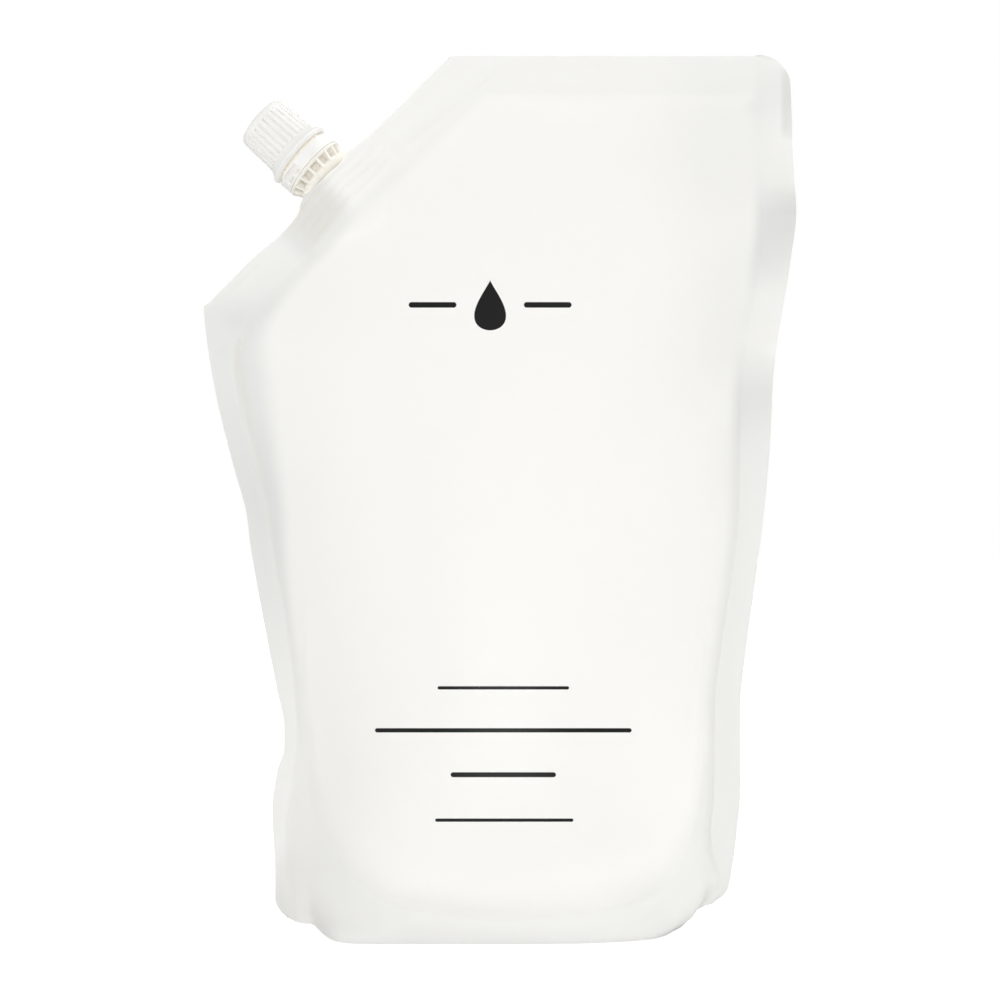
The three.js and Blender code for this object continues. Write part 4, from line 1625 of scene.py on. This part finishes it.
@dataclass
class TamperRing:
    """The loose band under the cap, with its small bridges and one pressed-in stretch."""

    sizes: ClosureSizes
    finish: MouldedFinish
    name: str = "ring_band"
    wall: float = 1.2
    lip_gap: float = 0.3
    lip_height: float = 1.5
    rim: float = 0.6
    rim_step: float = 0.15
    bridges: int = 8
    bridge_size: tuple[float, float, float] = (0.8, 1.0, 1.2)
    bridge_taper: float = 0.7
    pocket_depth: float = 0.6
    pocket_inset: float = 0.12
    pocket_start: float = 208.0
    pocket_end: float = 250.0

    def build(self, place: Matrix) -> bpy.types.Object:
        """Makes the ring.

        Args:
            place: Where the closure's frame lies in the pack.

        Returns:
            The finished piece.
        """
        s = self.sizes
        lip = s.collar + self.lip_gap
        low, high, out, rim, step = s.ring_low, s.ring_top, s.flange, self.rim, self.rim_step
        outer = [
            (out, low), (out, low + rim), (out, low + rim + step), (out, high - rim - step), (out, high - rim),
            (out, high), (out - self.wall, high), (out - self.wall, low + self.lip_height),
            (lip, low + self.lip_height),
        ]
        obj = turned(self.name, (lip, low), outer, (), ROUND_SIDES)
        edit(obj, "FACE")
        pick_faces(obj, self.in_pocket)
        depth = -self.pocket_depth * MM
        bpy.ops.mesh.inset(thickness=self.pocket_inset * MM, depth=depth, use_even_offset=True)
        rounded(obj, 0.22, 40.0, 3)
        combined(obj, [self.bridge(i) for i in range(self.bridges)])
        smooth(obj)
        # Painted shade on the inside and in the pressed-in stretch, and a painted glow on the inside.
        note(obj, "recess_shade", self.recess_shade)
        note(obj, "glow", lambda places: INSIDE_GLOW * (self.recess_shade(places) >= INSIDE))
        placed(obj, place)
        return finished(obj, self.finish.make(), "ring", "tamper_ring")

    def bridge(self, i: int) -> bpy.types.Object:
        """Makes one torn bridge on the band's upper edge, narrower at its tip.

        Args:
            i: Its number round the ring.

        Returns:
            The bridge in its place.
        """
        start_afresh()
        middle = (self.sizes.flange - self.wall / 2) * MM
        bpy.ops.mesh.primitive_cube_add(size=1.0, location=(middle, 0.0, self.sizes.ring_top * MM))
        peg = bpy.context.object
        bpy.ops.transform.resize(value=tuple(size * MM for size in self.bridge_size))
        bpy.ops.object.transform_apply(location=True, rotation=True, scale=True)
        edit(peg, "FACE")
        pick_faces(peg, lambda centres, normals: normals[:, 2] > 0.9)
        taper = (self.bridge_taper, self.bridge_taper, 1.0)
        bpy.ops.transform.resize(value=taper, center_override=(middle, 0, 0))
        leave_edit()
        peg.data.transform(Matrix.Rotation(2 * math.pi * i / self.bridges, 4, "Z"))
        return peg

    def recess_shade(self, places: Array) -> Array:
        """Gives the painted shade at the ring's vertices: much on its inside, and a little in the pressed-in
        stretch.

        Args:
            places: Places of the vertices, one row each.

        Returns:
            The share at each vertex.
        """
        x, y, _ = places.T
        deep = self.sizes.flange - np.hypot(x, y)
        return np.where(deep > self.wall - 0.1, INSIDE, 0.2 * smooth_step(deep, 0.2, 0.5))

    def in_pocket(self, centres: Array, normals: Array) -> Array:
        """Says which faces of the band lie in the pressed-in stretch.

        Args:
            centres: Centres of the faces, one row each.
            normals: Normals of the faces, one row each.

        Returns:
            True for each face that does.
        """
        x, y, z = centres.T / MM
        angle = np.degrees(np.arctan2(y, x)) % 360.0
        outside = (np.abs(normals[:, 2]) < 0.2) & (np.hypot(x, y) > self.sizes.flange - 0.3)
        level = (z > self.sizes.ring_low + self.rim) & (z < self.sizes.ring_top - self.rim)
        return outside & level & (angle > self.pocket_start) & (angle < self.pocket_end)


@dataclass
class ScrewCap:
    """The screw cap: flared foot, grip ribs, crown, and inside it the thread and the plug."""

    sizes: ClosureSizes
    finish: MouldedFinish
    name: str = "screw_cap"
    ribs: int = 28
    groove_depth: float = 0.5
    groove_inset: float = 0.06
    groove_share: float = 0.34
    # Share of painted shade in the grooves between the ribs.
    groove_shade: float = 0.3
    grip_steps: int = 6
    rib_low: float = 13.9
    rib_high: float = 24.6
    foot_radius: float = 9.1
    crown_radius: float = 8.5

    def build(self, place: Matrix) -> bpy.types.Object:
        """Makes the cap.

        Args:
            place: Where the closure's frame lies in the pack.

        Returns:
            The finished piece.
        """
        s = self.sizes
        low, top = s.cap_low, s.cap_top
        foot, crown, steps = self.foot_radius, self.crown_radius, self.grip_steps
        rise, taper = self.rib_high - self.rib_low, crown + 0.12 - foot
        grip = [(foot + taper * i / steps, self.rib_low + rise * i / steps) for i in range(steps + 1)]
        outer = [
            (s.flare - 0.18, low + 0.72), (s.flare, low + 0.92), (s.flare, low + 1.25),
            (s.flare - 0.18, low + 1.5), (s.flare - 0.75, low + 2.1), (s.flare - 1.3, low + 2.85),
            (foot + 0.2, low + 3.6), *grip, (crown + 0.05, self.rib_high + 0.6), (crown - 0.02, top - 1.2),
            (crown - 0.18, top - 0.62), (crown - 0.55, top - 0.2), (crown - 1.15, top), (3.0, top), (0.0, top),
        ]
        ceiling = s.cap_ceiling
        inner = [
            (s.bead + 0.6, low), (s.bead + 0.6, low + 1.65), (s.cap_bore, low + 2.65), (s.cap_bore, ceiling),
            (s.bore - 0.3, ceiling), (s.bore - 0.3, ceiling - 3), (s.bore - 1.1, ceiling - 3),
            (s.bore - 1.1, ceiling), (0.0, ceiling),
        ]
        obj = turned(self.name, (s.flare - 0.8, low), outer, inner, self.ribs * 3)
        edit(obj, "FACE")
        pick_faces(obj, self.in_groove)
        depth = -self.groove_depth * MM
        bpy.ops.mesh.inset(thickness=self.groove_inset * MM, depth=depth, use_even_offset=True)
        rounded(obj, 0.13, 34.0, 2)
        ridge = thread("cap_thread", s.cap_bore, -1.0, s.cap_thread_low, s)
        combined(obj, [ridge])
        smooth(obj)
        # Painted shade in the grooves and inside the foot, and a painted glow inside it.
        note(obj, "recess_shade", self.recess_shade)
        note(obj, "glow", lambda places: INSIDE_GLOW * (self.recess_shade(places) >= INSIDE))
        placed(obj, place)
        return finished(obj, self.finish.make(), "cap", "cap")

    def recess_shade(self, places: Array) -> Array:
        """Gives the painted shade at the cap's vertices: some in the grooves between its ribs, and much inside
        its foot.

        Args:
            places: Places of the vertices, one row each.

        Returns:
            The share at each vertex.
        """
        x, y, z = places.T
        radius = np.hypot(x, y)
        up = (z - self.rib_low) / (self.rib_high - self.rib_low)
        deep = self.foot_radius + (self.crown_radius - self.foot_radius) * up - radius
        in_groove = (deep > 0.3) & (deep < 1.0) & (up > 0.01) & (up < 0.99)
        inside = (radius < self.sizes.bead + 0.7) & (z < self.rib_low)
        return np.where(in_groove, self.groove_shade, np.where(inside, INSIDE, 0.0))

    def in_groove(self, centres: Array, normals: Array) -> Array:
        """Says which faces of the wall lie in the grooves between the ribs.

        Args:
            centres: Centres of the faces, one row each.
            normals: Normals of the faces, one row each.

        Returns:
            True for each face that does.
        """
        x, y, z = centres.T / MM
        outside = (np.hypot(x, y) > self.crown_radius - 0.6) & (np.abs(normals[:, 2]) < 0.4)
        level = (z > self.rib_low - 0.01) & (z < self.rib_high + 0.01)
        turns = (np.degrees(np.arctan2(y, x)) + 90.0) / (360.0 / self.ribs)
        return outside & level & (np.abs(turns - np.round(turns)) < self.groove_share / 2)


# The studio


@dataclass(frozen=True)
class Lamp:
    """One square soft lamp: its place and side in metres, and its power in watts."""

    name: str
    place: tuple[float, float, float]
    size: float
    power: float


@dataclass
class Studio:
    """A plain white floor and backdrop, soft lamps, and the camera at the photograph's angle."""

    lens: float = 59.58
    sensor: float = 36.0
    world_level: float = 0.5
    floor_size: float = 6.0
    floor_drop: float = 0.0003
    floor_level: float = 0.84
    floor_seen: tuple[float, float, float] = (0.62, 0.6, 0.59)
    floor_glow: float = 0.78
    lamp_target: tuple[float, float, float] = (0.0, 0.0, 0.12)
    lamps: tuple[Lamp, ...] = (
        Lamp("front", (0.0, -1.45, 0.1), 0.8, 9.6),
        Lamp("fill", (-1.25, -0.65, 0.75), 0.8, 3.7),
        Lamp("side", (1.1, -0.5, 1.15), 0.8, 2.6),
        Lamp("rim", (0.8, 0.25, 1.2), 0.6, 8.0),
        Lamp("back", (-0.1, 1.4, 0.6), 0.9, 6.0),
    )

    def floor(self) -> None:
        """Adds the white floor, which shows white to the camera and keeps the pack's close shadow."""
        start_afresh()
        bpy.ops.mesh.primitive_grid_add(
            x_subdivisions=8, y_subdivisions=8, size=self.floor_size, location=(0, 0, -self.floor_drop)
        )
        obj = bpy.context.object
        obj.name = obj.data.name = "floor"
        bpy.ops.object.transform_apply(location=True, rotation=True, scale=True)
        material = bpy.data.materials.new("white_floor")
        material.use_nodes = True
        nodes = Nodes(material.node_tree)
        nodes.tree.nodes.clear()
        plain = nodes.add("ShaderNodeBsdfDiffuse")
        plain.inputs["Color"].default_value = (self.floor_level,) * 3 + (1.0,)
        seen = nodes.add("ShaderNodeBsdfDiffuse")
        seen.inputs["Color"].default_value = (*self.floor_seen, 1.0)
        glow = nodes.add("ShaderNodeEmission")
        glow.inputs["Strength"].default_value = self.floor_glow
        both = nodes.add("ShaderNodeAddShader")
        nodes.join(seen.outputs[0], both.inputs[0])
        nodes.join(glow.outputs[0], both.inputs[1])
        camera_ray = nodes.add("ShaderNodeLightPath").outputs["Is Camera Ray"]
        mixed = nodes.mixed_shader(camera_ray, plain.outputs[0], both.outputs[0])
        nodes.join(mixed, nodes.add("ShaderNodeOutputMaterial").inputs[0])
        obj.data.materials.append(material)

    def world(self) -> None:
        """Lights the pack evenly from all round, and shows white behind it."""
        world = bpy.data.worlds.new("studio")
        bpy.context.scene.world = world
        world.use_nodes = True
        nodes = Nodes(world.node_tree)
        nodes.tree.nodes.clear()
        soft, white = nodes.add("ShaderNodeBackground"), nodes.add("ShaderNodeBackground")
        for background, level in ((soft, self.world_level), (white, 1.0)):
            background.inputs["Color"].default_value = (1.0, 1.0, 1.0, 1.0)
            background.inputs["Strength"].default_value = level
        path = nodes.add("ShaderNodeLightPath").outputs
        clear = nodes.math("MAXIMUM", path["Is Camera Ray"], path["Is Transmission Ray"])
        mixed = nodes.mixed_shader(clear, soft.outputs[0], white.outputs[0])
        nodes.join(mixed, nodes.add("ShaderNodeOutputWorld").inputs[0])

    def lamp(self, lamp: Lamp) -> None:
        """Adds one soft lamp that faces the pack.

        Args:
            lamp: Its name, place, size and power.
        """
        data = bpy.data.lights.new(lamp.name, "AREA")
        data.size = lamp.size
        data.energy = lamp.power
        obj = bpy.data.objects.new(lamp.name, data)
        bpy.context.scene.collection.objects.link(obj)
        obj.location = lamp.place
        aim = Vector(self.lamp_target) - obj.location
        obj.rotation_euler = aim.to_track_quat("-Z", "Y").to_euler()

    def camera(self) -> None:
        """Puts the camera where the photograph was taken from."""
        data = bpy.data.cameras.new("camera")
        data.lens = self.lens
        data.sensor_width = self.sensor
        data.clip_start = 0.01
        camera = bpy.data.objects.new("camera", data)
        bpy.context.scene.collection.objects.link(camera)
        camera.location = (0.0, -CAMERA_DISTANCE * MM, CAMERA_HEIGHT * MM)
        camera.rotation_euler = (math.pi / 2, 0.0, 0.0)
        bpy.context.scene.camera = camera

    def build(self) -> None:
        """Sets up the whole studio."""
        self.floor()
        self.world()
        for lamp in self.lamps:
            self.lamp(lamp)
        self.camera()
        bpy.context.scene.view_settings.view_transform = "Standard"


def main() -> None:
    """Builds the pieces and the studio, and reports each piece."""
    logging.basicConfig(level=logging.INFO, format="%(message)s")
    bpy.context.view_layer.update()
    sizes = ClosureSizes()
    # The third colour of each finish is the painted shade of its recesses, which also glows as painted light.
    spout_plastic = MouldedFinish(
        "natural_white_plastic", (0.89, 0.865, 0.81), (0.86, 0.83, 0.76), (0.82, 0.785, 0.71), 0.45
    )
    cap_plastic = MouldedFinish("white_cap_plastic", (0.9, 0.895, 0.875), (0.87, 0.86, 0.83), (0.8, 0.77, 0.71))
    pouch = FilmPouch()
    place = pouch.seat.matrix()
    pieces = [
        pouch.build(),
        Spout(sizes, spout_plastic).build(place),
        TamperRing(sizes, cap_plastic).build(place),
        ScrewCap(sizes, cap_plastic).build(place),
    ]
    for piece in pieces:
        piece.data.calc_loop_triangles()
        log.info("%s: %d triangles", piece.name, len(piece.data.loop_triangles))
    Studio().build()


if __name__ == "__main__":
    main()
